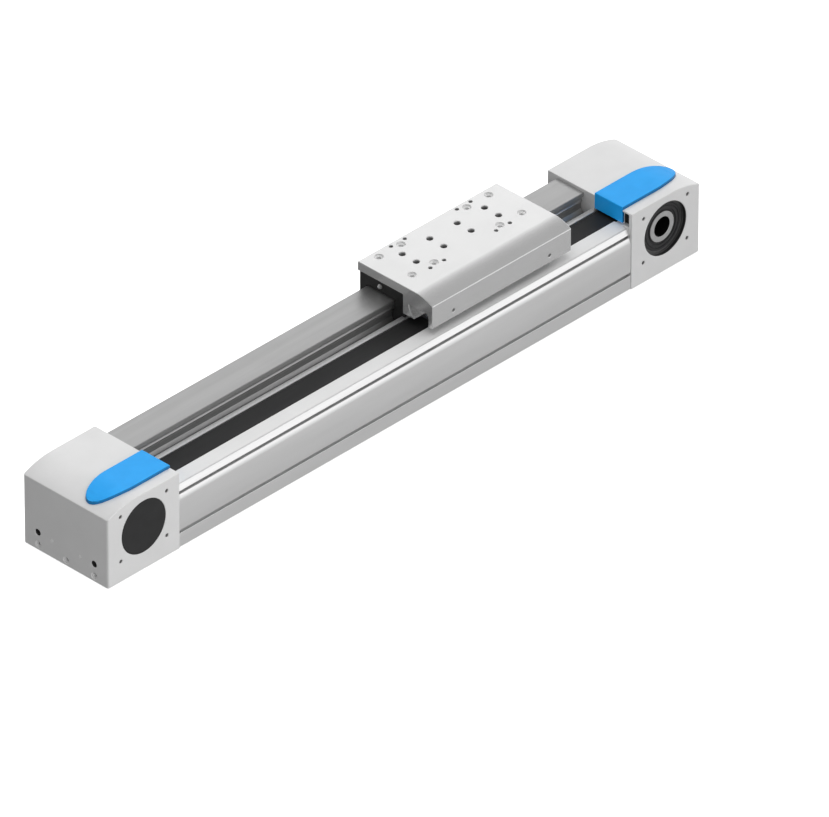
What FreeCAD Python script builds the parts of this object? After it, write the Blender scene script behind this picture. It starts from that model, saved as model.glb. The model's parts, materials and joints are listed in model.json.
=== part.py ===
import FreeCAD, Part
import math
import os
import Sketcher
from FreeCAD import Placement, Rotation, Vector

# A belt driven linear axis: an aluminium profile between two end housings, a guide rail
# on top of it, a carriage on two ball runners, and a toothed belt over two pulleys.
# X runs along the axis from the idler end to the drive end, Y from front to back and
# Z upwards. The origin lies on the mounting surface under the middle of the axis.

# Driving dimensions, in millimetres unless the note says otherwise
SIZES = [
    ("axis_length", 857.0, "over both end housings"),
    ("housing_length", 101.4, "along the axis"),
    ("housing_width", 120.0, "across the axis"),
    ("housing_rise", 31.7, "flat top of a housing above the rail seat"),
    ("nose_run", 42.0, "length of the rounded stretch of a housing's top"),
    ("nose_drop", 9.2, "how far the top falls towards the outer end"),
    ("housing_corner", 2.5, "radius of the upright edges at the outer end"),
    ("pulley_inset", 51.0, "pulley axis from the outer end, before rounding to pitches"),
    ("pulley_drop", 8.5, "pulley axis below the rail seat"),
    ("pulley_teeth", 25.0, "teeth on each pulley, a count"),
    ("belt_pitch", 5.0, "from tooth to tooth"),
    ("belt_width", 25.0, "across the belt"),
    ("drive_sleeve", 4.3, "from the front bearing of the drive shaft to the belt flange"),
    ("belt_back", 0.9, "pitch line to the smooth back"),
    ("belt_land", 0.5, "pitch line to the land between teeth"),
    ("tooth_height", 1.2, "land to tooth tip"),
    ("tooth_root", 2.65, "tooth width at the land"),
    ("tooth_tip", 1.78, "tooth width at the tip"),
    ("mesh_gap", 0.1, "between a belt tooth and its pulley gap"),
    ("pulley_margin", 1.0, "pulley wider than the belt, each side"),
    ("flange_radius", 23.0, "belt flange of a pulley"),
    ("flange_thick", 1.5, "belt flange of a pulley"),
    ("housing_bore", 25.0, "radius of the cross bore round a pulley"),
    ("seat_radius", 27.5, "bearing seat in a housing"),
    ("pilot_radius", 31.0, "centring recess round the drive shaft"),
    ("pilot_depth", 5.0, "centring recess round the drive shaft"),
    ("seal_thick", 4.0, "shaft seal behind the centring recess"),
    ("bearing_width", 10.0, "drive shaft bearing"),
    ("shaft_radius", 17.5, "hollow drive shaft"),
    ("coupling_radius", 11.5, "bore of the hollow drive shaft"),
    ("ring_wall", 2.7, "inner ring of a drive shaft bearing"),
    ("axle_radius", 8.5, "fixed axle of the idler pulley"),
    ("idler_bearing_radius", 15.0, "outer radius of an idler bearing"),
    ("idler_bearing_width", 7.0, "idler bearing"),
    ("idler_ring_wall", 2.6, "inner ring of an idler bearing"),
    ("sleeve_wall", 2.0, "spacer sleeves on shaft and axle"),
    ("support_thick", 13.0, "round axle support in the idler housing"),
    ("static_gap", 0.02, "between pieces that are fitted together"),
    ("running_gap", 0.06, "between turning and standing rings"),
    ("flange_hole_x", 65.0, "side hole pattern along the axis"),
    ("flange_hole_z", 54.0, "side hole pattern upwards"),
    ("thread_five", 2.1, "radius of a tapped hole for a five millimetre screw"),
    ("thread_six", 2.5, "radius of a tapped hole for a six millimetre screw"),
    ("flange_hole_depth", 12.0, "side holes"),
    ("end_screw_y", 40.0, "end screws from the centre plane"),
    ("end_screw_drop", 30.6, "end screws under the pulley axis"),
    ("end_screw_head", 3.5, "head radius of an end screw"),
    ("end_screw_shank", 2.0, "shank radius of an end screw"),
    ("end_screw_wall", 62.0, "housing length that an end screw clamps"),
    ("end_screw_grip", 18.0, "thread of an end screw in the profile"),
    ("screw_clearance", 0.25, "round a screw's head and shank"),
    ("dowel_y", 20.0, "end face dowels from the centre plane"),
    ("dowel_z", 20.3, "end face dowels above the mounting surface"),
    ("dowel_radius", 2.0, "end face dowels"),
    ("dowel_length", 12.0, "end face dowels"),
    ("centring_y", 40.0, "spacing of the end face centring holes"),
    ("centring_z", 6.6, "end face centring holes above the mounting surface"),
    ("end_centring_radius", 4.0, "end face centring holes"),
    ("centring_depth", 2.1, "centring holes"),
    ("thread_depth", 9.0, "tapped holes under the centring holes"),
    ("window_margin", 3.0, "round the belt in the housing window"),
    ("cover_shift", 5.1, "belt cover centre in front of the belt's"),
    ("cover_half", 19.8, "half the width of a belt cover"),
    ("cover_tip", 6.5, "belt cover tip from the outer end"),
    ("cover_curve", 45.0, "length of the rounded end of a belt cover"),
    ("cover_seat", 1.2, "depth of the pocket that holds a belt cover"),
    ("cover_rise", 3.2, "belt cover above the housing's top"),
    ("cover_wall", 3.0, "end wall of a belt cover"),
    ("cover_gap", 3.5, "belt cover's end wall above the belt"),
    ("niche_depth", 6.0, "niche beside the belt cover in a housing's inner face"),
    ("niche_front", 4.4, "niche behind the housing's front face"),
    ("niche_foot", 1.2, "niche above the profile's land"),
    ("niche_roof", 2.2, "niche below the housing's flat top"),
    ("profile_inset", 1.0, "profile's side faces behind the housings' faces"),
    ("seat_height", 60.0, "rail seat of the profile"),
    ("land_rise", 13.0, "front land and ledge of the profile above the rail seat"),
    ("facet_run", 4.4, "front land's outer edge behind the profile's side"),
    ("facet_fall", 16.5, "foot of the slanted facet below the land"),
    ("channel_play", 1.1, "between the belt and the walls of its channel"),
    ("channel_depth", 13.0, "belt channel below the land"),
    ("ledge_wall", 5.9, "wall between belt channel and rail seat"),
    ("profile_chamfer", 0.8, "long edges of the profile"),
    ("dip_inset", 1.0, "fine groove from the outer edge of the land"),
    ("dip_half", 0.8, "half width of the fine groove in the land"),
    ("dip_depth", 0.7, "fine groove in the land"),
    ("side_slot_z", 18.9, "lower side slot above the mounting surface"),
    ("side_slot_mouth", 3.6, "lower side slot"),
    ("side_slot_lip", 2.0, "lower side slot"),
    ("side_slot_room", 7.6, "lower side slot"),
    ("side_slot_depth", 6.2, "lower side slot"),
    ("sensor_slot_drop", 8.65, "upper side slot below the land"),
    ("sensor_slot_mouth", 2.8, "upper side slot"),
    ("sensor_slot_lip", 5.6, "upper side slot, from the side plane"),
    ("sensor_slot_room", 6.4, "upper side slot"),
    ("sensor_slot_depth", 9.0, "upper side slot, from the side plane"),
    ("base_slot_y", 30.0, "mounting slots under the profile"),
    ("base_slot_mouth", 5.4, "mounting slots under the profile"),
    ("base_slot_lip", 3.0, "mounting slots under the profile"),
    ("base_slot_room", 11.6, "mounting slots under the profile"),
    ("base_slot_depth", 8.4, "mounting slots under the profile"),
    ("return_room", 5.2, "round the lower run of the belt in the profile"),
    ("chamber_wall", 4.0, "webs between the chambers of the profile"),
    ("leg_gap", 0.45, "between the profile's ledge and a runner"),
    ("rail_half", 19.25, "half the width of the rail's head"),
    ("rail_height", 27.8, "rail above its seat"),
    ("rail_waist", 15.5, "half the width of the rail's waist"),
    ("rail_foot", 18.6, "half the width of the rail's foot"),
    ("track_radius", 3.6, "ball track in the rail"),
    ("track_high", 4.6, "upper edge of the ball track under the rail's top"),
    ("track_low", 10.8, "lower edge of the ball track under the rail's top"),
    ("track_inset", 1.95, "lower edge of the ball track inwards of the rail's side"),
    ("neck_high", 13.1, "upper end of the rail's waist under its top"),
    ("neck_low", 7.5, "lower end of the rail's waist above the seat"),
    ("foot_edge", 4.0, "edge of the rail's foot above the seat"),
    ("strip_thick", 0.4, "cover strip on the rail"),
    ("strip_inset", 0.5, "cover strip narrower than the rail, each side"),
    ("rail_pitch", 80.0, "from rail screw to rail screw"),
    ("rail_screws_count", 8.0, "rail screws, a count"),
    ("rail_head_radius", 5.0, "head of a rail screw"),
    ("rail_head_height", 6.0, "head of a rail screw"),
    ("rail_head_depth", 9.0, "counterbore in the rail"),
    ("rail_shank_radius", 3.0, "shank of a rail screw"),
    ("rail_grip", 10.0, "thread of a rail screw in the profile"),
    ("rail_screw_web", 7.0, "half the solid web of the profile under the rail screws"),
    ("carriage_gap", 78.45, "carriage at rest to the drive housing"),
    ("carriage_length", 202.7, "along the axis"),
    ("carriage_rise", 26.3, "load face above the rail"),
    ("carriage_overhang", 0.95, "rear edge of the carriage behind the runners"),
    ("front_setback", 10.8, "carriage's front face behind the housings' faces"),
    ("plate_thick", 10.4, "carriage plate over the runners"),
    ("shoulder_run", 24.2, "width of the rounded shoulder"),
    ("shoulder_drop", 6.6, "fall of the rounded shoulder"),
    ("skirt_lift", 7.6, "bottom of the carriage above the profile's land"),
    ("pocket_setback", 0.8, "runner pocket behind the belt channel's rear wall"),
    ("pattern_inset", 33.0, "hole pattern centre from the carriage's rear edge"),
    ("load_hole_radius", 3.4, "large tapped holes"),
    ("load_hole_x", 20.0, "large tapped holes, and again at three times this"),
    ("load_hole_y", 10.0, "large tapped holes"),
    ("centring_radius", 4.5, "centring holes of the carriage"),
    ("centring_core", 2.5, "tapped core of the centring holes"),
    ("centring_inner_x", 48.0, "inner centring holes"),
    ("centring_outer_x", 80.0, "outer centring holes"),
    ("centring_hole_y", 23.5, "centring holes"),
    ("small_hole_radius", 2.1, "small tapped holes"),
    ("small_inner_x", 38.0, "inner small tapped holes"),
    ("small_outer_x", 58.0, "outer small tapped holes"),
    ("small_hole_y", 28.0, "small tapped holes"),
    ("side_hole_inset", 31.2, "front face holes from the carriage's ends"),
    ("side_hole_rise", 8.6, "front face holes above the skirt"),
    ("side_hole_radius", 1.9, "front face holes"),
    ("side_hole_depth", 8.0, "front face holes"),
    ("recess_depth", 14.0, "curved recess in the carriage's ends"),
    ("recess_radius", 20.0, "curved recess in the carriage's ends"),
    ("recess_foot", 24.2, "where the recess's curve meets the skirt, from the front"),
    ("recess_head", 33.7, "where the recess's curve ends, from the front"),
    ("recess_rise", 22.3, "where the recess's curve ends, above the land"),
    ("recess_side", 6.0, "front wall of the recess from the front"),
    ("recess_chamfer", 3.0, "upper front corner of the recess"),
    ("clamp_inset", 18.0, "belt clamp from the carriage's end"),
    ("clamp_length", 38.0, "belt clamp"),
    ("clamp_rise", 18.5, "top of a belt clamp above the land"),
    ("clamp_lift", 4.5, "bottom of a belt clamp above the channel's floor"),
    ("clamp_cheek", 0.65, "belt clamp beside the belt"),
    ("clamp_play", 0.15, "belt clamp round the belt"),
    ("tension_shift", 9.8, "tension screw in front of the belt's centre"),
    ("tension_rise", 13.0, "tension screw above the land"),
    ("tension_head", 3.5, "tension screw head radius"),
    ("tension_head_height", 4.0, "tension screw head"),
    ("tension_shank", 2.0, "tension screw shank radius"),
    ("tension_grip", 14.0, "tension screw in the belt clamp"),
    ("runner_inset", 13.35, "runner's steel body from the carriage's end"),
    ("runner_length", 76.0, "runner's steel body"),
    ("runner_half", 28.9, "half the width of a runner"),
    ("runner_lift", 3.5, "bottom of a runner above the rail seat"),
    ("runner_gap", 0.6, "between runner and rail"),
    ("leg_relief", 0.65, "more room beside the rail's ball track"),
    ("cap_gap", 0.75, "between a runner's plastic caps or seal and the rail"),
    ("end_cap_thick", 5.5, "ball return cap of a runner"),
    ("seal_plate_thick", 5.0, "end seal in front of a runner"),
    ("seal_plate_gap", 0.35, "end seal to the carriage's pocket"),
    ("seal_plate_lift", 1.2, "end seal above the profile's ledge"),
    ("runner_screw_x", 20.0, "runner screws from the runner's middle"),
    ("runner_screw_y", 24.4, "runner screws from the rail's centre"),
    ("runner_head_radius", 3.5, "head of a runner screw"),
    ("runner_head_height", 4.0, "head of a runner screw"),
    ("runner_head_depth", 6.0, "counterbore in a runner"),
    ("runner_shank_radius", 2.0, "shank of a runner screw"),
    ("runner_grip", 6.0, "thread of a runner screw in the carriage"),
    ("nipple_radius", 2.6, "grease nipple"),
    ("nipple_length", 3.4, "grease nipple in front of the end seal"),
    ("nipple_rise", 8.3, "grease nipple above the rail"),
]

doc = FreeCAD.newDocument("linear_axis")
sheet = doc.addObject("Spreadsheet::Sheet", "Sheet")
NODES = []


class Dim:
    """A length with its value and the expression that binds it to the sheet."""

    def __init__(self, value, text=None):
        self.value = float(value)
        self.text = text or repr(float(value))

    def __add__(self, other):
        other = dim(other)
        return Dim(self.value + other.value, "(%s + %s)" % (self.text, other.text))

    def __sub__(self, other):
        other = dim(other)
        return Dim(self.value - other.value, "(%s - %s)" % (self.text, other.text))

    def __mul__(self, other):
        other = dim(other)
        return Dim(self.value * other.value, "(%s * %s)" % (self.text, other.text))

    def __truediv__(self, other):
        other = dim(other)
        return Dim(self.value / other.value, "(%s / %s)" % (self.text, other.text))

    def __neg__(self):
        return self * -1

    __radd__ = __add__
    __rmul__ = __mul__

    def __rsub__(self, other):
        return dim(other) - self


def dim(value):
    return value if isinstance(value, Dim) else Dim(value)


def whole(value):
    """The nearest whole number, as a count of teeth or pitches needs."""
    return Dim(math.floor(value.value + 0.5), "floor(%s + 0.5)" % value.text)


class Sizes:
    """The sheet's cells by name."""


def fill_sheet():
    sizes = Sizes()
    for row, (name, value, note) in enumerate(SIZES, start=1):
        sheet.set("A%d" % row, name)
        sheet.set("B%d" % row, str(value))
        sheet.set("C%d" % row, note)
        sheet.setAlias("B%d" % row, name)
        setattr(sizes, name, Dim(value, "Sheet." + name))
    doc.recompute()
    return sizes


s = fill_sheet()

# Derived places, in the same terms as the sheet
HALF = s.axis_length / 2
INNER = HALF - s.housing_length
FACE = s.housing_width / 2
PROFILE_HALF = FACE - s.profile_inset
SEAT_START = FACE - s.pilot_depth
BEARING_START = SEAT_START - s.seal_thick
BEARING_END = BEARING_START - s.bearing_width
PULLEY_HALF = s.belt_width / 2 + s.pulley_margin
HUB_HALF = PULLEY_HALF + s.flange_thick
LAND = s.seat_height + s.land_rise
LAND_EDGE = PROFILE_HALF - s.facet_run
CHANNEL_FLOOR = LAND - s.channel_depth
HOUSING_TOP = s.seat_height + s.housing_rise
RAIL_TOP = s.seat_height + s.rail_height
PITCHES = whole((s.axis_length - s.pulley_inset * 2) / s.belt_pitch)
PULLEY_X = PITCHES * s.belt_pitch / 2
PULLEY_Z = s.seat_height - s.pulley_drop
END_SCREW_Z = PULLEY_Z - s.end_screw_drop
PITCH_RADIUS = s.pulley_teeth * s.belt_pitch / (2 * math.pi)
BELT_Y = -BEARING_END + s.drive_sleeve + HUB_HALF
BELT_TOP = PULLEY_Z + PITCH_RADIUS + s.belt_back
BELT_FOOT = PULLEY_Z + PITCH_RADIUS - s.belt_land - s.tooth_height
LOWER_RUN = PULLEY_Z - PITCH_RADIUS
CHANNEL_HALF = s.belt_width / 2 + s.channel_play
CHANNEL_FRONT = BELT_Y - CHANNEL_HALF
CHANNEL_BACK = BELT_Y + CHANNEL_HALF
COVER_Y = BELT_Y - s.cover_shift
RAIL_Y = CHANNEL_BACK + s.ledge_wall + s.leg_gap + s.runner_half
CARRIAGE_HALF = s.carriage_length / 2
CARRIAGE_X = INNER - s.carriage_gap - CARRIAGE_HALF
CARRIAGE_TOP = RAIL_TOP + s.carriage_rise
CARRIAGE_FRONT = -FACE + s.front_setback
CARRIAGE_BACK = RAIL_Y + s.runner_half + s.carriage_overhang
SKIRT = LAND + s.skirt_lift
POCKET_ROOF = CARRIAGE_TOP - s.plate_thick
POCKET_WALL = CHANNEL_BACK + s.pocket_setback
RUNNER_FOOT = s.seat_height + s.runner_lift
CLAMP_TOP = LAND + s.clamp_rise
TENSION_Y = BELT_Y - s.tension_shift
TENSION_Z = LAND + s.tension_rise

TURN = {
    "X": Rotation(Vector(0, 1, 0), 90),
    "Y": Rotation(Vector(1, 0, 0), -90),
    "Z": Rotation(),
}
PLANE = {
    "YZ": Rotation(Vector(1, 1, 1), 120),
    "XZ": Rotation(Vector(1, 0, 0), 90),
    "XY": Rotation(),
}
NORMAL = {"YZ": Vector(1, 0, 0), "XZ": Vector(0, 1, 0), "XY": Vector(0, 0, 1)}


def bind(thing, **sizes):
    for name, value in sizes.items():
        thing.setExpression(name, dim(value).text)


def place(thing, x, y, z):
    for name, value in (("x", x), ("y", y), ("z", z)):
        thing.setExpression("Placement.Base." + name, dim(value).text)


def block(name, x, y, z):
    """A box between two planes along each axis."""
    box = doc.addObject("Part::Box", name)
    bind(box, Length=dim(x[1]) - x[0], Width=dim(y[1]) - y[0], Height=dim(z[1]) - z[0])
    place(box, x[0], y[0], z[0])
    return box


def rod(name, axis, start, length, radius):
    """A cylinder that starts at a point and runs along an axis."""
    cylinder = doc.addObject("Part::Cylinder", name)
    cylinder.Placement = Placement(Vector(), TURN[axis])
    bind(cylinder, Radius=radius, Height=length)
    place(cylinder, *start)
    return cylinder


def join(name, pieces):
    if len(pieces) == 1:
        return pieces[0]
    fused = doc.addObject("Part::MultiFuse", name)
    fused.Shapes = pieces
    return fused


def cut(name, base, tools):
    result = doc.addObject("Part::Cut", name)
    result.Base = base
    result.Tool = join(name + "_tools", tools)
    return result


def overlap(name, pieces):
    common = doc.addObject("Part::MultiCommon", name)
    common.Shapes = pieces
    return common


def group(name, pieces):
    """Separate solids that are kept together in one file."""
    bundle = doc.addObject("Part::Compound", name)
    bundle.Links = pieces
    return bundle


def node(label, thing):
    thing.Label = label
    NODES.append(thing)
    return thing


def ring(name, axis, start, length, outer, inner):
    body = rod(name + "_body", axis, start, length, outer)
    hole = rod(name + "_hole", axis, start, length, inner)
    return cut(name, body, [hole])


def arc_centre(first, last, radius, left):
    """Centre of the shorter arc between two points, left or right of the way it runs."""
    across = (last[0] - first[0], last[1] - first[1])
    chord = math.hypot(*across)
    rise = math.sqrt(max(radius * radius - chord * chord / 4, 0.0))
    turn = 1 if left else -1
    return Vector(
        (first[0] + last[0]) / 2 - turn * across[1] / chord * rise,
        (first[1] + last[1]) / 2 + turn * across[0] / chord * rise,
        0,
    )


def sketch(name, plane, chains, offset=None):
    """A sketch of closed chains. A corner is (across, up), and (across, up, radius, left)
    is reached by an arc. Each corner is bound to the sheet."""
    outline = doc.addObject("Sketcher::SketchObject", name)
    outline.Placement = Placement(Vector(), PLANE[plane])
    if offset is not None:
        along = {"YZ": "x", "XZ": "y", "XY": "z"}[plane]
        outline.setExpression("Placement.Base." + along, dim(offset).text)
    bound = []
    for chain in chains:
        add_chain(outline, chain, bound)
    for index, value in bound:
        outline.setExpression("Constraints[%d]" % index, value.text)
    return outline


def add_chain(outline, chain, bound):
    corners = [(dim(c[0]), dim(c[1])) for c in chain]
    spots = [(c[0].value, c[1].value) for c in corners]
    first = outline.GeometryCount
    ends = []
    for i, spot in enumerate(spots):
        after = (i + 1) % len(chain)
        target = chain[after]
        if len(target) == 2:
            line = Part.LineSegment(Vector(*spot, 0), Vector(*spots[after], 0))
            outline.addGeometry(line, False)
            ends.append((1, 2))
            continue
        radius, left = dim(target[2]), target[3]
        centre = arc_centre(spot, spots[after], radius.value, left)
        angles = [math.atan2(p[1] - centre.y, p[0] - centre.x) for p in (spot, spots[after])]
        if not left:
            angles.reverse()
        circle = Part.Circle(centre, Vector(0, 0, 1), radius.value)
        outline.addGeometry(Part.ArcOfCircle(circle, *angles), False)
        ends.append((1, 2) if left else (2, 1))
        index = outline.addConstraint(Sketcher.Constraint("Radius", first + i, radius.value))
        bound.append((index, radius))
    for i, corner in enumerate(corners):
        after = (i + 1) % len(chain)
        link = Sketcher.Constraint("Coincident", first + i, ends[i][1], first + after, ends[after][0])
        outline.addConstraint(link)
        for kind, value in (("DistanceX", corner[0]), ("DistanceY", corner[1])):
            where = Sketcher.Constraint(kind, -1, 1, first + i, ends[i][0], value.value)
            bound.append((outline.addConstraint(where), value))


def extrude(name, outline, plane, length):
    solid = doc.addObject("Part::Extrusion", name)
    solid.Base = outline
    solid.DirMode = "Custom"
    solid.Dir = NORMAL[plane]
    solid.Solid = True
    bind(solid, LengthFwd=length)
    return solid


def prism(name, plane, chains, start, length):
    """One or more outlines drawn out along the plane's normal."""
    return extrude(name, sketch(name + "_outline", plane, chains, start), plane, length)


def t_slot(name, at, lip, depth, mouth, room, start, length):
    """A cutter for a slot that widens behind its lip. at turns a place (in, across) of the
    slot, measured from the face and from the slot's middle, into one of the section."""
    corners = [
        (-1, -mouth / 2), (lip, -mouth / 2), (lip, -room / 2), (depth, -room / 2),
        (depth, room / 2), (lip, room / 2), (lip, mouth / 2), (-1, mouth / 2),
    ]
    return prism(name, "YZ", [[at(dim(a), dim(b)) for a, b in corners]], start, length)


def base_profile():
    half, chamfer = PROFILE_HALF, s.profile_chamfer
    dip = LAND_EDGE - s.dip_inset
    ledge = CHANNEL_BACK + s.ledge_wall
    outer = [
        (-half + chamfer, 0), (half - chamfer, 0), (half, chamfer),
        (half, s.seat_height - chamfer), (half - chamfer, s.seat_height),
        (ledge, s.seat_height), (ledge, LAND), (CHANNEL_BACK, LAND),
        (CHANNEL_BACK, CHANNEL_FLOOR), (CHANNEL_FRONT, CHANNEL_FLOOR), (CHANNEL_FRONT, LAND),
        (-dip + s.dip_half, LAND), (-dip, LAND - s.dip_depth), (-dip - s.dip_half, LAND),
        (-LAND_EDGE, LAND), (-half, LAND - s.facet_fall), (-half, chamfer),
    ]
    wall = s.chamber_wall
    belt_low = LOWER_RUN - s.return_room
    belt_high = LOWER_RUN + s.return_room + s.tooth_height
    return_run = rectangle(CHANNEL_FRONT, CHANNEL_BACK, belt_low, belt_high)
    under_channel = rectangle(
        -half + wall * 2, CHANNEL_BACK, belt_high + wall, CHANNEL_FLOOR - wall
    )
    web = RAIL_Y - s.rail_screw_web, RAIL_Y + s.rail_screw_web
    behind = rectangle(CHANNEL_BACK + wall, web[0], belt_low + wall, s.seat_height - wall * 2)
    rear = rectangle(web[1], half - wall, belt_low + wall, s.seat_height - wall * 2)
    foot = rectangle(-s.base_slot_y, s.base_slot_y, s.base_slot_depth + wall, belt_low - wall)
    length = INNER * 2
    body = prism("profile_body", "YZ", [outer], -INNER, length)
    rooms = [
        prism("profile_room_%d" % i, "YZ", [chain], -INNER, length)
        for i, chain in enumerate([return_run, under_channel, behind, rear, foot])
    ]
    slots = []
    for side, tag in ((-1, "front"), (1, "back")):
        slots.append(t_slot(
            "side_slot_" + tag,
            lambda a, b, side=side: (side * (half - a), s.side_slot_z + b),
            s.side_slot_lip, s.side_slot_depth, s.side_slot_mouth, s.side_slot_room,
            -INNER, length,
        ))
        slots.append(t_slot(
            "base_slot_" + tag,
            lambda a, b, side=side: (side * s.base_slot_y + b, a),
            s.base_slot_lip, s.base_slot_depth, s.base_slot_mouth, s.base_slot_room,
            -INNER, length,
        ))
    slots.append(t_slot(
        "sensor_slot",
        lambda a, b: (a - half, LAND - s.sensor_slot_drop + b),
        s.sensor_slot_lip, s.sensor_slot_depth, s.sensor_slot_mouth, s.sensor_slot_room,
        -INNER, length,
    ))
    holes = []
    for i, x in enumerate(rail_places()):
        depth = s.rail_grip + 1
        start = (x, RAIL_Y, s.seat_height - depth)
        holes.append(rod("profile_rail_hole_%d" % i, "Z", start, depth, s.rail_shank_radius))
    for side in (-1, 1):
        depth = s.end_screw_grip + 1
        first = -INNER if side < 0 else INNER - depth
        for place_y in (-1, 1):
            name = "profile_end_hole_%s_%s" % (tag_of(side), tag_of(place_y))
            start = (first, place_y * s.end_screw_y, END_SCREW_Z)
            holes.append(rod(name, "X", start, depth, s.end_screw_shank))
    node("base_profile", cut("base_profile", body, rooms + slots + holes))


def rectangle(left, right, low, high):
    return [(left, low), (right, low), (right, high), (left, high)]


def tag_of(side):
    return "low" if side < 0 else "high"


def rail_places():
    """Places of the rail screws along the axis."""
    count = int(s.rail_screws_count.value)
    return [s.rail_pitch * (i - (count - 1) / 2) for i in range(count)]


def rail_section():
    """The rail's section, from the front foot over the head to the rear foot."""
    top, low = RAIL_TOP, s.seat_height
    half = [
        (s.rail_foot, low), (s.rail_foot, low + s.foot_edge), (s.rail_waist, low + s.neck_low),
        (s.rail_waist, top - s.neck_high), (s.rail_half - s.track_inset, top - s.track_low),
        (s.rail_half, top - s.track_high), (s.rail_half, top),
    ]
    right = [(RAIL_Y + a, b) for a, b in half]
    left = [(RAIL_Y - a, b) for a, b in reversed(half)]
    right[5] = right[5] + (s.track_radius, False)
    left[2] = left[2] + (s.track_radius, False)
    return right + left


def guide_rail():
    body = prism("rail_body", "YZ", [rail_section()], -INNER, INNER * 2)
    holes = []
    screws = []
    head_at = RAIL_TOP - s.rail_head_depth
    for i, x in enumerate(rail_places()):
        start = (x, RAIL_Y, s.seat_height - 1)
        length = s.rail_height + 2
        radius = s.rail_shank_radius + s.screw_clearance
        holes.append(rod("rail_hole_%d" % i, "Z", start, length, radius))
        start = (x, RAIL_Y, head_at)
        radius = s.rail_head_radius + s.screw_clearance
        holes.append(rod("rail_sink_%d" % i, "Z", start, s.rail_head_depth + 1, radius))
        head = rod("rail_head_%d" % i, "Z", start, s.rail_head_height, s.rail_head_radius)
        start = (x, RAIL_Y, s.seat_height - s.rail_grip)
        length = head_at - s.seat_height + s.rail_grip + 1
        shank = rod("rail_shank_%d" % i, "Z", start, length, s.rail_shank_radius)
        screws.append(join("rail_screw_%d" % i, [head, shank]))
    node("guide_rail", cut("guide_rail", body, holes))
    node("rail_screws", group("rail_screws", screws))
    half = s.rail_half - s.strip_inset
    strip = block(
        "rail_cover_strip", (-INNER, INNER), (RAIL_Y - half, RAIL_Y + half),
        (RAIL_TOP, RAIL_TOP + s.strip_thick),
    )
    node("rail_cover_strip", strip)


def mirrored(side, x):
    """A distance from the axis centre towards one end."""
    return dim(x) if side > 0 else -dim(x)


def span(side, near, far):
    """Low and high X of a stretch that lies towards one end."""
    return (dim(near), dim(far)) if side > 0 else (-dim(far), -dim(near))


def nose_radius():
    run, drop = s.nose_run, s.nose_drop
    return (run * run + drop * drop) / (drop * 2)


def housing_outline(side, raise_by):
    """Side view of a housing, its top raised by a little where a cover needs it."""
    radius = nose_radius() + raise_by
    high = HOUSING_TOP + raise_by
    low = HOUSING_TOP - s.nose_drop + raise_by
    corners = [
        (mirrored(side, INNER), dim(0)), (mirrored(side, HALF), dim(0)),
        (mirrored(side, HALF), low),
        (mirrored(side, HALF - s.nose_run), high, radius, side > 0),
        (mirrored(side, INNER), high),
    ]
    return corners


def cover_plan(side, grow, extra):
    """Plan of a belt cover: straight sides from the inner end, then half an ellipse."""
    half = s.cover_half + grow
    tip = HALF - s.cover_tip + grow
    bend = tip - s.cover_curve
    middle = COVER_Y
    return half, tip, bend, middle, INNER - extra


def cover_plug(name, side, grow, extra, low, high):
    """A solid of the cover's plan between two heights, cut from an elliptic cylinder."""
    half, tip, bend, middle, inner = cover_plan(side, grow, extra)
    oval = doc.addObject("Part::Ellipse", name + "_oval")
    bind(oval, MajorRadius=s.cover_curve, MinorRadius=half)
    place(oval, mirrored(side, bend), middle, low)
    face = doc.addObject("Part::Face", name + "_face")
    face.Sources = [oval]
    round_end = extrude(name + "_round", face, "XY", high - low)
    straight = block(
        name + "_straight", span(side, inner, bend), (middle - half, middle + half), (low, high)
    )
    keep = block(
        name + "_keep", span(side, inner, HALF), (middle - half, middle + half), (low, high)
    )
    return overlap(name, [join(name + "_plan", [round_end, straight]), keep])


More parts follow.
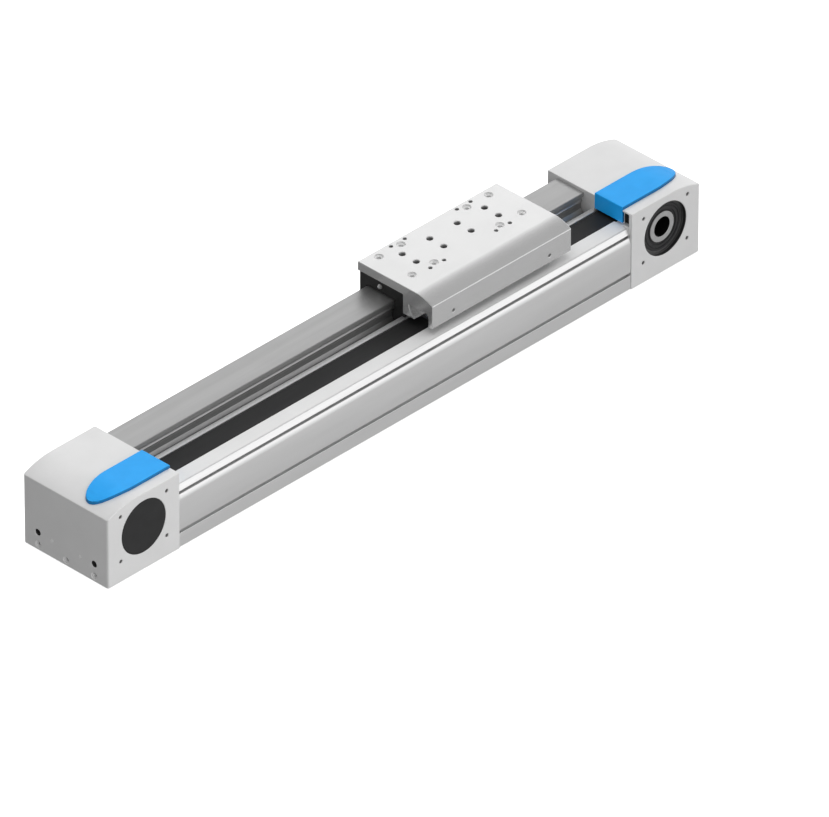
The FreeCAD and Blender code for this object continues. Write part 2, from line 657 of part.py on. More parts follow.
def housing(side, title):
    shape = prism(title + "_side", "XZ", [housing_outline(side, dim(0))], -FACE, s.housing_width)
    corner = s.housing_corner
    inner, outer = mirrored(side, INNER), mirrored(side, HALF)
    before = mirrored(side, HALF - corner)
    left = side > 0
    plan = [
        (inner, -FACE), (before, -FACE), (outer, -FACE + corner, corner, left),
        (outer, FACE - corner), (before, FACE, corner, left), (inner, FACE),
    ]
    upright = prism(title + "_upright", "XY", [plan], dim(0), HOUSING_TOP)
    blank = overlap(title + "_blank", [shape, upright])
    middle = mirrored(side, PULLEY_X)
    height = PULLEY_Z
    tools = [
        rod(title + "_bore", "Y", (middle, -FACE, height), s.housing_width, s.housing_bore),
    ]
    for face in (-1, 1):
        tag = title + "_" + tag_of(face)
        deep = FACE - BEARING_END if title == "drive" else s.pilot_depth + s.support_thick
        start = -FACE if face < 0 else FACE - deep
        tools.append(rod(tag + "_seat", "Y", (middle, start, height), deep, s.seat_radius))
        start = -FACE if face < 0 else FACE - s.pilot_depth
        tools.append(rod(tag + "_pilot", "Y", (middle, start, height), s.pilot_depth, s.pilot_radius))
        start = -FACE if face < 0 else FACE - s.flange_hole_depth
        radius = s.thread_five if face < 0 else s.thread_six
        for i, dx in enumerate((-1, 1)):
            for k, dz in enumerate((-1, 1)):
                at = (middle + dx * s.flange_hole_x / 2, start, height + dz * s.flange_hole_z / 2)
                name = "%s_hole_%d%d" % (tag, i, k)
                tools.append(rod(name, "Y", at, s.flange_hole_depth, radius))
    margin = s.window_margin
    window = block(
        title + "_window", span(side, INNER - 1, PULLEY_X),
        (BELT_Y - s.belt_width / 2 - margin, BELT_Y + s.belt_width / 2 + margin),
        (LOWER_RUN - s.belt_back - margin, BELT_TOP + margin),
    )
    niche = block(
        title + "_niche", span(side, INNER - 1, INNER + s.niche_depth),
        (-FACE + s.niche_front, COVER_Y - s.cover_half),
        (LAND + s.niche_foot, HOUSING_TOP - s.niche_roof),
    )
    tools += [window, niche]
    tools += cover_pocket(title, side)
    tools += end_face_holes(title, side)
    node(title + "_housing", cut(title + "_housing", blank, tools))


def cover_pocket(title, side):
    """The shallow pocket for the belt cover and the slot for its end wall."""
    low = HOUSING_TOP - s.nose_drop * 2
    plug = cover_plug(title + "_pocket", side, s.static_gap, dim(1), low, HOUSING_TOP + 1)
    inner_top = prism(
        title + "_pocket_floor", "XZ", [housing_outline(side, -s.cover_seat)], -FACE, s.housing_width
    )
    pocket = cut(title + "_pocket_cut", plug, [inner_top])
    half = s.cover_half + s.static_gap
    slot = block(
        title + "_wall_slot", span(side, INNER - 1, INNER + s.cover_wall + s.static_gap),
        (COVER_Y - half, COVER_Y + half),
        (LAND, HOUSING_TOP + 1),
    )
    return [pocket, slot]


def belt_cover(title, side):
    """A plastic cover: a raised cap in the pocket and an end wall down to the belt."""
    low = HOUSING_TOP - s.nose_drop * 2
    high = HOUSING_TOP + s.cover_rise
    plan = cover_plug(title + "_cap", side, dim(0), dim(0), low, high)
    top = prism(
        title + "_cap_top", "XZ", [housing_outline(side, s.cover_rise)], -FACE, s.housing_width
    )
    floor = prism(
        title + "_cap_floor", "XZ", [housing_outline(side, -s.cover_seat)], -FACE, s.housing_width
    )
    cap = cut(title + "_cap_cut", overlap(title + "_cap_both", [plan, top]), [floor])
    wall = block(
        title + "_cap_wall", span(side, INNER, INNER + s.cover_wall),
        (COVER_Y - s.cover_half, COVER_Y + s.cover_half),
        (BELT_TOP + s.cover_gap, HOUSING_TOP),
    )
    node(title + "_belt_cover", join(title + "_belt_cover", [cap, wall]))


def end_face_holes(title, side):
    tools = []
    reach = s.housing_length - s.end_screw_wall
    for y in (-1, 1):
        tag = "%s_end_%s" % (title, tag_of(y))
        at = (span(side, HALF - reach, HALF)[0], y * s.end_screw_y, END_SCREW_Z)
        radius = s.end_screw_head + s.screw_clearance
        tools.append(rod(tag + "_sink", "X", at, reach, radius))
        at = (span(side, INNER - 1, HALF - reach + 1)[0], y * s.end_screw_y, END_SCREW_Z)
        radius = s.end_screw_shank + s.screw_clearance
        tools.append(rod(tag + "_shank", "X", at, s.end_screw_wall + 2, radius))
        at = (span(side, HALF - s.dowel_length, HALF)[0], y * s.dowel_y, s.dowel_z)
        tools.append(rod(tag + "_dowel", "X", at, s.dowel_length, s.dowel_radius + s.static_gap))
    for i in (-1, 0, 1):
        y = s.centring_y * i
        tag = "%s_centring_%d" % (title, i + 1)
        at = (span(side, HALF - s.centring_depth, HALF)[0], y, s.centring_z)
        tools.append(rod(tag, "X", at, s.centring_depth, s.end_centring_radius))
        at = (span(side, HALF - s.thread_depth, HALF)[0], y, s.centring_z)
        tools.append(rod(tag + "_core", "X", at, s.thread_depth, s.thread_five))
    return tools


def end_fasteners():
    """Screws that hold both housings to the profile, and the dowels in their end faces."""
    screws = []
    dowels = []
    for side, title in ((-1, "idler"), (1, "drive")):
        clamp_face = INNER + s.end_screw_wall
        head_height = s.end_screw_head
        for y in (-1, 1):
            tag = "%s_screw_%s" % (title, tag_of(y))
            x = span(side, clamp_face, clamp_face + head_height)[0]
            at = (x, y * s.end_screw_y, END_SCREW_Z)
            head = rod(tag + "_head", "X", at, head_height, s.end_screw_head)
            x = span(side, INNER - s.end_screw_grip, clamp_face + 1)[0]
            at = (x, y * s.end_screw_y, END_SCREW_Z)
            length = s.end_screw_grip + s.end_screw_wall + 1
            shank = rod(tag + "_shank", "X", at, length, s.end_screw_shank)
            screws.append(join(tag, [head, shank]))
            x = span(side, HALF - s.dowel_length, HALF)[0]
            at = (x, y * s.dowel_y, s.dowel_z)
            dowels.append(rod(tag + "_dowel", "X", at, s.dowel_length, s.dowel_radius))
    node("housing_screws", group("housing_screws", screws))
    node("end_dowels", group("end_dowels", dowels))


def belt_point(distance, depth):
    """A point of the belt loop: distance along the pitch line, depth inside it."""
    straight = PULLEY_X.value * 2
    radius = PITCH_RADIUS.value
    wrap = math.pi * radius
    high = PULLEY_Z.value
    distance %= 2 * (straight + wrap)
    if distance < straight:
        return Vector(distance - straight / 2, 0, high + radius - depth)
    distance -= straight
    if distance < wrap:
        angle = distance / radius
        inside = radius - depth
        return Vector(straight / 2 + inside * math.sin(angle), 0, high + inside * math.cos(angle))
    distance -= wrap
    if distance < straight:
        return Vector(straight / 2 - distance, 0, high - radius + depth)
    angle = (distance - straight) / radius
    inside = radius - depth
    return Vector(-straight / 2 - inside * math.sin(angle), 0, high - inside * math.cos(angle))


def toothed_belt():
    """One closed loop: a smooth back, and a tooth at every pitch that meshes at rest."""
    pitch = s.belt_pitch.value
    teeth = int(round(PITCHES.value * 2 + s.pulley_teeth.value))
    land, tip = s.belt_land.value, s.belt_land.value + s.tooth_height.value
    foot_half, tip_half = s.tooth_root.value / 2, s.tooth_tip.value / 2
    inner = []
    for i in range(teeth):
        middle = i * pitch
        inner.append(belt_point(middle - foot_half, land))
        inner.append(belt_point(middle - tip_half, tip))
        inner.append(belt_point(middle + tip_half, tip))
        inner.append(belt_point(middle + foot_half, land))
    inner.append(inner[0])
    straight, radius = PULLEY_X.value, PITCH_RADIUS.value + s.belt_back.value
    high = PULLEY_Z.value
    upper = [Vector(-straight, 0, high + radius), Vector(straight, 0, high + radius)]
    lower = [Vector(straight, 0, high - radius), Vector(-straight, 0, high - radius)]
    right = Part.Arc(upper[1], Vector(straight + radius, 0, high), lower[0])
    left = Part.Arc(lower[1], Vector(-straight - radius, 0, high), upper[0])
    back = Part.Wire([
        Part.LineSegment(*upper).toShape(), right.toShape(),
        Part.LineSegment(*lower).toShape(), left.toShape(),
    ])
    face = Part.makeFace([back, Part.makePolygon(inner)], "Part::FaceMakerBullseye")
    belt = doc.addObject("Part::Feature", "toothed_belt")
    belt.Shape = face.extrude(Vector(0, s.belt_width.value, 0))
    belt.setExpression("Placement.Base.y", (BELT_Y - s.belt_width / 2).text)
    node("toothed_belt", belt)


def pulley_gap():
    """Corners of the gap between two pulley teeth, wider than the belt's tooth."""
    gap = s.mesh_gap
    outer = PITCH_RADIUS - s.belt_land + gap
    inner = PITCH_RADIUS - s.belt_land - s.tooth_height - gap
    wide = s.tooth_root / 2 + gap * 2
    narrow = s.tooth_tip / 2 + gap
    return [(-narrow, inner), (narrow, inner), (wide, outer), (-wide, outer)]


def pulley(title, side, hub_radius, reach_front, reach_back, bore_radius):
    """A toothed pulley with its hub as one body: a blank, one gap and the pattern of gaps."""
    body = doc.addObject("PartDesign::Body", title + "_pulley")
    plane = [f for f in body.Origin.OriginFeatures if f.Role == "XZ_Plane"][0]
    radius = PITCH_RADIUS - s.belt_land - s.mesh_gap
    blank = disc_outline(body, plane, title + "_blank", radius)
    pad = body.newObject("PartDesign::Pad", title + "_pad")
    pad.Profile = blank
    pad.Midplane = True
    bind(pad, Length=PULLEY_HALF * 2)
    for way, reach in (("front", reach_front), ("back", reach_back)):
        tag = "%s_%s_hub" % (title, way)
        hub = body.newObject("PartDesign::Pad", tag)
        hub.Profile = disc_outline(body, plane, tag + "_outline", hub_radius)
        hub.Reversed = way == "back"
        bind(hub, Length=reach)
    notch = body.newObject("Sketcher::SketchObject", title + "_notch")
    notch.AttachmentSupport = (plane, "")
    notch.MapMode = "FlatFace"
    bound = []
    add_chain(notch, pulley_gap(), bound)
    for index, value in bound:
        notch.setExpression("Constraints[%d]" % index, value.text)
    pocket = body.newObject("PartDesign::Pocket", title + "_gap")
    pocket.Profile = notch
    pocket.Midplane = True
    bind(pocket, Length=PULLEY_HALF * 2)
    doc.recompute()
    pattern = body.newObject("PartDesign::PolarPattern", title + "_gaps")
    pattern.Originals = [pocket]
    pattern.Axis = (blank, ["N_Axis"])
    pattern.Angle = 360
    bind(pattern, Occurrences=s.pulley_teeth)
    body.Tip = pattern
    doc.recompute()
    bore = body.newObject("PartDesign::Pocket", title + "_bore_cut")
    bore.Profile = disc_outline(body, plane, title + "_hollow", bore_radius)
    bore.Midplane = True
    bind(bore, Length=s.housing_width * 2)
    body.Tip = bore
    place(body, mirrored(side, PULLEY_X), BELT_Y, PULLEY_Z)
    node(title + "_pulley", body)


def disc_outline(body, plane, name, radius):
    """A circle round the body's own Y axis."""
    outline = body.newObject("Sketcher::SketchObject", name)
    outline.AttachmentSupport = (plane, "")
    outline.MapMode = "FlatFace"
    outline.addGeometry(Part.Circle(Vector(), Vector(0, 0, 1), radius.value), False)
    outline.addConstraint(Sketcher.Constraint("Coincident", 0, 3, -1, 1))
    index = outline.addConstraint(Sketcher.Constraint("Radius", 0, radius.value))
    outline.setExpression("Constraints[%d]" % index, radius.text)
    return outline


def flanges(title, side, bore):
    pieces = []
    for way in (-1, 1):
        start = BELT_Y - HUB_HALF if way < 0 else BELT_Y + PULLEY_HALF
        at = (mirrored(side, PULLEY_X), start, PULLEY_Z)
        name = "%s_flange_%s" % (title, tag_of(way))
        pieces.append(ring(name, "Y", at, s.flange_thick, s.flange_radius, bore))
    node(title + "_pulley_flanges", group(title + "_pulley_flanges", pieces))


def drive_shaft():
    """Hollow shaft and pulley in one piece, its rings, sleeves, bearings and seals."""
    front = SEAT_START + BELT_Y
    back = SEAT_START - BELT_Y
    pulley("drive", 1, s.shaft_radius, front, back, s.coupling_radius)
    flanges("drive", 1, s.shaft_radius + s.static_gap)
    x, z = PULLEY_X, PULLEY_Z
    bore = s.shaft_radius + s.static_gap
    ring_outer = s.shaft_radius + s.ring_wall
    inner, outer, seals, sleeves = [], [], [], []
    for way in (-1, 1):
        tag = "drive_" + tag_of(way)
        start = -BEARING_START if way < 0 else BEARING_END
        at = (x, start, z)
        inner.append(ring(tag + "_inner", "Y", at, s.bearing_width, ring_outer, bore))
        outer.append(ring(
            tag + "_outer", "Y", at, s.bearing_width,
            s.seat_radius - s.static_gap, ring_outer + s.running_gap,
        ))
        start = -SEAT_START if way < 0 else BEARING_START
        seal = ring(
            tag + "_seal", "Y", (x, start, z), s.seal_thick,
            s.seat_radius - s.static_gap, s.shaft_radius + s.running_gap,
        )
        seals.append(seal)
        start = -BEARING_END if way < 0 else BELT_Y + HUB_HALF
        length = s.drive_sleeve if way < 0 else BEARING_END - BELT_Y - HUB_HALF
        sleeve = bore + s.sleeve_wall
        sleeves.append(ring(tag + "_sleeve", "Y", (x, start, z), length, sleeve, bore))
    node("drive_bearing_inner_rings", group("drive_bearing_inner_rings", inner))
    node("drive_bearing_outer_rings", group("drive_bearing_outer_rings", outer))
    node("drive_seal_front", seals[0])
    node("drive_seal_back", seals[1])
    node("drive_spacers", group("drive_spacers", sleeves))


def idler():
    """Pulley on two bearings on a fixed axle, held in round supports behind two caps."""
    hub = s.idler_bearing_radius + s.idler_ring_wall
    pulley("idler", -1, hub, HUB_HALF, HUB_HALF, s.idler_bearing_radius)
    flanges("idler", -1, hub + s.static_gap)
    x, z = -PULLEY_X, PULLEY_Z
    bore = s.axle_radius + s.static_gap
    ring_outer = bore + s.idler_ring_wall
    sleeve = bore + s.sleeve_wall
    seat = SEAT_START - s.support_thick
    inner, outer, supports = [], [], []
    for way in (-1, 1):
        tag = "idler_" + tag_of(way)
        start = BELT_Y - HUB_HALF if way < 0 else BELT_Y + HUB_HALF - s.idler_bearing_width
        at = (x, start, z)
        inner.append(ring(tag + "_inner", "Y", at, s.idler_bearing_width, ring_outer, bore))
        outer.append(ring(
            tag + "_outer", "Y", at, s.idler_bearing_width,
            s.idler_bearing_radius - s.static_gap, ring_outer + s.running_gap,
        ))
        start = -SEAT_START if way < 0 else seat
        supports.append(ring(
            tag + "_support", "Y", (x, start, z), s.support_thick,
            s.seat_radius - s.static_gap, bore,
        ))
        start = -FACE if way < 0 else SEAT_START
        cap = rod(
            tag + "_cap", "Y", (x, start, z), s.pilot_depth, s.pilot_radius - s.static_gap
        )
        node("idler_cap_front" if way < 0 else "idler_cap_back", cap)
    node("idler_bearing_inner_rings", group("idler_bearing_inner_rings", inner))
    node("idler_bearing_outer_rings", group("idler_bearing_outer_rings", outer))
    node("idler_axle_supports", group("idler_axle_supports", supports))
    axle = rod("idler_axle", "Y", (x, -SEAT_START, z), SEAT_START * 2, s.axle_radius)
    node("idler_axle", axle)
    stretches = (
        (-seat, BELT_Y - HUB_HALF),
        (BELT_Y - HUB_HALF + s.idler_bearing_width, BELT_Y + HUB_HALF - s.idler_bearing_width),
        (BELT_Y + HUB_HALF, seat),
    )
    sleeves = [
        ring("idler_sleeve_%d" % i, "Y", (x, low, z), high - low, sleeve, bore)
        for i, (low, high) in enumerate(stretches)
    ]
    node("idler_spacers", group("idler_spacers", sleeves))


def carriage_x(offset):
    return CARRIAGE_X + offset


def near_end(side, near, far):
    """Low and high X of a stretch of the carriage, measured from its middle."""
    low, high = span(side, near, far)
    return carriage_x(low), carriage_x(high)


def shoulder_radius():
    run, drop = s.shoulder_run, s.shoulder_drop
    return (run * run + drop * drop) / (drop * 2)


def carriage_plate():
    top, front = CARRIAGE_TOP, CARRIAGE_FRONT
    outline = [
        (CARRIAGE_BACK, POCKET_ROOF), (CARRIAGE_BACK, top), (front + s.shoulder_run, top),
        (front, top - s.shoulder_drop, shoulder_radius(), True), (front, SKIRT),
        (POCKET_WALL, SKIRT), (POCKET_WALL, POCKET_ROOF),
    ]
    start = carriage_x(-CARRIAGE_HALF)
    body = prism("plate_body", "YZ", [outline], start, s.carriage_length)
    tools = []
    for side in (-1, 1):
        tools += carriage_end_tools(side)
    tools += load_holes()
    node("carriage_plate", cut("carriage_plate", body, tools))


def carriage_end_tools(side):
    """Curved recess, belt clamp room, tension screw hole and side hole at one end."""
    tag = "plate_" + tag_of(side)
    half = CARRIAGE_HALF
    front, low, high = CARRIAGE_FRONT, SKIRT - 1, LAND + s.recess_rise
    recess = [
        (front + s.recess_foot, low), (front + s.recess_head, high, s.recess_radius, True),
        (front + s.recess_side + s.recess_chamfer, high),
        (front + s.recess_side, high - s.recess_chamfer), (front + s.recess_side, low),
    ]
    low, high = near_end(side, half - s.recess_depth, half)
    tools = [prism(tag + "_recess", "YZ", [recess], low, high - low)]
    clamp = near_end(side, half - s.clamp_inset - s.clamp_length, half - s.clamp_inset)
    reach = clamp_half() + s.static_gap
    tools.append(block(
        tag + "_clamp_room", clamp, (BELT_Y - reach, BELT_Y + reach),
        (SKIRT - 1, CLAMP_TOP + s.static_gap),
    ))
    low, high = near_end(side, half - s.clamp_inset - 1, half - s.recess_depth + 1)
    at = (low, TENSION_Y, TENSION_Z)
    radius = s.tension_shank + s.screw_clearance
    tools.append(rod(tag + "_tension_hole", "X", at, high - low, radius))
    x = near_end(side, half - s.side_hole_inset, half)[0 if side > 0 else 1]
    at = (x, CARRIAGE_FRONT, SKIRT + s.side_hole_rise)
    tools.append(rod(tag + "_side_hole", "Y", at, s.side_hole_depth, s.side_hole_radius))
    middle = half - s.runner_inset - s.runner_length / 2
    for i, dx in enumerate((-1, 1)):
        for k, dy in enumerate((-1, 1)):
            at = (
                carriage_x(mirrored(side, middle) + dx * s.runner_screw_x),
                RAIL_Y + dy * s.runner_screw_y, POCKET_ROOF,
            )
            name = "%s_runner_hole_%d%d" % (tag, i, k)
            tools.append(rod(name, "Z", at, s.runner_grip + 1, s.runner_shank_radius))
    return tools


def load_holes():
    """The three hole patterns of the load face."""
    tools = []
    top, middle = CARRIAGE_TOP, CARRIAGE_BACK - s.pattern_inset

    def pattern(title, xs, y, make):
        for i, x in enumerate(xs):
            for tag, dx, dy in (("a", -1, -1), ("b", -1, 1), ("c", 1, -1), ("d", 1, 1)):
                make("%s_%d%s" % (title, i, tag), carriage_x(dx * x), middle + dy * y)

    def large(name, x, y):
        tools.append(rod(name, "Z", (x, y, POCKET_ROOF), s.plate_thick, s.load_hole_radius))

    def centring(name, x, y):
        tools.append(rod(name, "Z", (x, y, top - s.centring_depth), s.centring_depth, s.centring_radius))
        at = (x, y, top - s.thread_depth)
        tools.append(rod(name + "_core", "Z", at, s.thread_depth, s.centring_core))

    def small(name, x, y):
        tools.append(rod(name, "Z", (x, y, POCKET_ROOF), s.plate_thick, s.small_hole_radius))

    pattern("large", (s.load_hole_x, s.load_hole_x * 3), s.load_hole_y, large)
    pattern("centring", (s.centring_inner_x, s.centring_outer_x), s.centring_hole_y, centring)
    pattern("small", (s.small_inner_x, s.small_outer_x), s.small_hole_y, small)
    return tools


def clamp_half():
    return s.belt_width / 2 + s.clamp_play + s.clamp_cheek


def belt_clamps():
    """Clamp blocks that grip the belt from both faces, each pulled by a tension screw."""
    clamps = []
    screws = []
    for side in (-1, 1):
        tag = "clamp_" + tag_of(side)
        half = CARRIAGE_HALF
        length = near_end(side, half - s.clamp_inset - s.clamp_length, half - s.clamp_inset)
        wide = clamp_half()
        height = (CHANNEL_FLOOR + s.clamp_lift, CLAMP_TOP)
        body = block(tag + "_body", length, (BELT_Y - wide, BELT_Y + wide), height)
        room = s.belt_width / 2 + s.clamp_play
        window = block(
            tag + "_window", (length[0] - 1, length[1] + 1), (BELT_Y - room, BELT_Y + room),
            (BELT_FOOT - s.clamp_play, BELT_TOP + s.clamp_play),
        )
        grip = near_end(side, half - s.clamp_inset - s.tension_grip, half - s.clamp_inset + 1)
        at = (grip[0], TENSION_Y, TENSION_Z)
        hole = rod(tag + "_hole", "X", at, grip[1] - grip[0], s.tension_shank)
        clamps.append(cut(tag, body, [window, hole]))
        face = half - s.recess_depth
        x = near_end(side, face, face + s.tension_head_height)[0]
        at = (x, TENSION_Y, TENSION_Z)
        head = rod(tag + "_head", "X", at, s.tension_head_height, s.tension_head)
        x = near_end(side, half - s.clamp_inset - s.tension_grip, face + 1)
        at = (x[0], TENSION_Y, TENSION_Z)
        shank = rod(tag + "_shank", "X", at, x[1] - x[0], s.tension_shank)
        screws.append(join(tag + "_screw", [head, shank]))
    node("belt_clamps", group("belt_clamps", clamps))
    node("belt_tension_screws", group("belt_tension_screws", screws))


def runner_section(gap):
    """A runner's section: a bridge over the rail with two legs that follow its flanks."""
    top, foot, half = POCKET_ROOF, RUNNER_FOOT, s.runner_half
    outer = [
        (RAIL_Y - half, foot), (RAIL_Y - half, top), (RAIL_Y + half, top), (RAIL_Y + half, foot),
    ]
    return outer + rail_clearance(foot, gap)


def rail_clearance(foot, gap):
    """The inner side of a runner or seal, from the rear leg over the rail to the front leg."""
    top = RAIL_TOP
    inner = [
        (s.rail_foot + gap, foot), (s.rail_waist + gap, s.seat_height + s.neck_low),
        (s.rail_waist + gap, top - s.neck_high),
        (s.rail_half - s.track_inset + s.leg_relief + gap, top - s.track_low),
        (s.rail_half + gap, top - s.track_high),
        (s.rail_half + gap, top + s.strip_thick + gap),
    ]
    right = [(RAIL_Y + a, b) for a, b in inner]
    left = [(RAIL_Y - a, b) for a, b in reversed(inner)]
    return right + left


def seal_section(gap):
    """An end seal's section: as a runner's, but it fills the pocket's front corner."""
    foot = RUNNER_FOOT
    front = POCKET_WALL + s.seal_plate_gap
    back = CARRIAGE_BACK - s.seal_plate_gap
    step = LAND + s.seal_plate_lift
    edge = RAIL_Y - s.runner_half
    top = POCKET_ROOF - s.seal_plate_gap
    outer = [
        (edge, foot), (edge, step), (front, step), (front, top), (back, top), (back, foot),
    ]
    return outer + rail_clearance(foot, gap)


def runners():
    """Two ball runners with their end caps, end seals, screws and grease nipples."""
    caps, screws, seals, nipples = [], [], [], []
    half = CARRIAGE_HALF
    for side, title in ((-1, "left"), (1, "right")):
        tag = "runner_" + title
        far = half - s.runner_inset
        near = far - s.runner_length
        low, high = near_end(side, near, far)
        body = prism(tag + "_body", "YZ", [runner_section(s.runner_gap)], low, high - low)
        tools = []
        middle = (low + high) / 2
        for i, dx in enumerate((-1, 1)):
            for k, dy in enumerate((-1, 1)):
                name = "%s_%d%d" % (tag, i, k)
                x = middle + dx * s.runner_screw_x
                y = RAIL_Y + dy * s.runner_screw_y
                tools += runner_holes(name, x, y)
                screws.append(runner_screw(name, x, y))
        node(tag, cut(tag, body, tools))
        for name, first in (("outer", far), ("inner", near - s.end_cap_thick)):
            low, high = near_end(side, first, first + s.end_cap_thick)
            section = runner_section(s.cap_gap)
            caps.append(prism("%s_cap_%s" % (tag, name), "YZ", [section], low, high - low))
        seal_at = far + s.end_cap_thick
        low, high = near_end(side, seal_at, seal_at + s.seal_plate_thick)
        section = seal_section(s.cap_gap)
        seals.append(prism(tag + "_seal", "YZ", [section], low, high - low))
        tip = seal_at + s.seal_plate_thick
        low, high = near_end(side, tip, tip + s.nipple_length)
        at = (low, RAIL_Y, RAIL_TOP + s.nipple_rise)
        nipples.append(rod(tag + "_nipple", "X", at, high - low, s.nipple_radius))
        node("end_seal_" + title, seals[-1])
    node("runner_end_caps", group("runner_end_caps", caps))
    node("runner_screws", group("runner_screws", screws))
    node("grease_nipples", group("grease_nipples", nipples))


def runner_holes(name, x, y):
    foot = RUNNER_FOOT - 1
    clearance = s.screw_clearance
    deep = s.runner_head_depth + 1
    head = rod(name + "_sink", "Z", (x, y, foot), deep, s.runner_head_radius + clearance)
    length = POCKET_ROOF - foot + 1
    shank = rod(name + "_bore", "Z", (x, y, foot), length, s.runner_shank_radius + clearance)
    return [head, shank]


def runner_screw(name, x, y):
    at = RUNNER_FOOT + s.runner_head_depth - s.runner_head_height
    head = rod(name + "_head", "Z", (x, y, at), s.runner_head_height, s.runner_head_radius)
    length = POCKET_ROOF + s.runner_grip - at - s.runner_head_height + 1
    start = at + s.runner_head_height - 1
    shank = rod(name + "_shank", "Z", (x, y, start), length, s.runner_shank_radius)
    return join(name + "_screw", [head, shank])


def check_and_write():
    doc.recompute()
    for thing in doc.Objects:
        if "Invalid" in thing.State or "Error" in thing.State:
            raise RuntimeError("failed: %s %s" % (thing.Name, thing.State))
    os.makedirs("parts", exist_ok=True)
    for thing in NODES:
        shape = thing.Shape
        if shape.isNull() or not shape.isValid() or not shape.Solids:
            raise RuntimeError("bad shape: " + thing.Label)
        shape.exportStep(os.path.join("parts", thing.Label + ".step"))
        print("%-28s %3d solids %9.0f mm3" % (thing.Label, len(shape.Solids), shape.Volume))


base_profile()
guide_rail()
for end, name in ((-1, "idler"), (1, "drive")):
    housing(end, name)
    belt_cover(name, end)
end_fasteners()
toothed_belt()
drive_shaft()
idler()
carriage_plate()
belt_clamps()
runners()
check_and_write()
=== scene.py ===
import json
import math

import bpy
from mathutils import Matrix, Vector


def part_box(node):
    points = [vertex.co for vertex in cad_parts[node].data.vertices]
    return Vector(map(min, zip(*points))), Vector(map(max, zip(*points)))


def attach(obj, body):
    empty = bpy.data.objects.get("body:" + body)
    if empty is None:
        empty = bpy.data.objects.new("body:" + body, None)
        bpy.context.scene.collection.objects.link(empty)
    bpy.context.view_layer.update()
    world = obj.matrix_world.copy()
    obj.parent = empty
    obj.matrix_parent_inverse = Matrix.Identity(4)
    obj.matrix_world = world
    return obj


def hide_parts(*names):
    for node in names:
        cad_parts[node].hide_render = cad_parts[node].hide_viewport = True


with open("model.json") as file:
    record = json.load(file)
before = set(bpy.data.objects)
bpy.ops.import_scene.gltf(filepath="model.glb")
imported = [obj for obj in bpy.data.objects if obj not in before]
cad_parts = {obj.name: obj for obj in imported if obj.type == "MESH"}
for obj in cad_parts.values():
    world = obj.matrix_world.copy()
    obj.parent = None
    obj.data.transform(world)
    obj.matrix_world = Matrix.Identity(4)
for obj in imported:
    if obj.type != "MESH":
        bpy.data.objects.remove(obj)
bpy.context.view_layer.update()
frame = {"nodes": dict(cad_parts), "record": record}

RECORD = frame["record"]
NODES = frame["nodes"]
BODY_OF = {
    node: body for body, names in RECORD["behaviour"]["bodies"].items() for node in names
}
MOUNTS = {row["name"]: row for row in RECORD["mounts"]}

# In metres: a millimetre, the distance under which corners merge, and the slack of place tests
MM = 0.001
MERGE = 0.001 * MM
NEAR = 0.02 * MM

# Camera, placed as the photograph was taken: far away with a long lens
LOOK_AT = (-0.0377, -0.1059, 0.0512)
CAMERA_DISTANCE = 17.143
CAMERA_AZIMUTH = -45.67
CAMERA_ELEVATION = 34.17
CAMERA_ROLL = 0.088
CAMERA_LENS = 737.1
SENSOR_WIDTH = 36.0
CAMERA_REACH = 100.0

# Edge roundings, in millimetres
CAST_EDGE = 0.7
MILLED_EDGE = 0.6
EXTRUDED_EDGE = 0.35
GROUND_EDGE = 0.25
SHEET_EDGE = 0.08
MOULDED_EDGE = 0.7
SMALL_MOULDED_EDGE = 0.4
TOOTH_EDGE = 0.12
COVER_ROUND = 0.8
LOAD_HOLE_EDGE = 0.9

# Angles in degrees: faces that join to one, edges that are rounded, edges that stay creased
ONE_FACE = 0.4
SHARP = 35.0
CREASE = 50.0
SEAL_CREASE = 40.0
FINE_CREASE = 30.0

# Facets of round pieces, and steps of a rounding
THREAD_FACETS = 32
NIPPLE_FACETS = 32
SCREW_FACETS = 40
SEAL_FACETS = 96
EDGE_STEPS = 2
FINE_STEPS = 4

# Threads, in millimetres: pitch by the radius of the tapped hole, depth at which the ridges start,
# and play to the hole's wall. The ridges' height is a share of the pitch.
PITCH_BY_CORE = {2.1: 0.8, 2.5: 1.0, 3.4: 1.25}
SLEEVE_START = 1.0
SLEEVE_TURNS = 6
SLEEVE_PLAY = 0.02
RIDGE_HEIGHT = 0.3

# Mounts of kind bolt_pattern, by where they are
FLANGE_PATTERNS = {
    "idler": ["idler_threads_front", "idler_threads_back"],
    "drive": ["motor_threads_front", "motor_threads_back"],
}
LOAD_PATTERNS = ["load_threads_inner", "load_threads_outer"]
SMALL_PATTERNS = ["small_threads_inner", "small_threads_outer"]
CENTRING_PATTERNS = ["centring_holes_inner", "centring_holes_outer"]

# Depth of the centring holes, room round the end screws and width of the seal ring, in millimetres
CENTRING_DEEP = 12.0
SCREW_ROOM = 0.25
SEAL_WIDTH = 9.92

# Niche beside each belt cover, painted black inside as painted shade, in millimetres
NICHE_DEEP = 6.1
NICHE_WALL = 4.3
NICHE_ROOF = 2.1

# A face looks up when its normal's z is over the first value, sideways when it is under the second
UPWARD = 0.7
SIDEWAYS = 0.5

# Part of its range that a noise pattern mostly fills
NOISE_LOW = 0.3
NOISE_HIGH = 0.7

# Studio: (height of the direction from -1 to 1, brightness), and the shade towards -X
WORLD_LEVELS = [
    (-1, 0.28), (-0.60, 0.34), (-0.44, 0.55), (-0.30, 1.55), (-0.10, 1.45),
    (0.04, 0.90), (0.50, 0.95), (0.66, 0.60), (0.80, 0.20), (0.92, 0.45),
]
SHADE_FROM = -0.8
SHADE_TO = 0.35
SHADE_LEVEL = 0.29
FLOOR_SIZE = 60.0
FLOOR_DROP = 0.0004
FLOOR_GLOW = 0.6

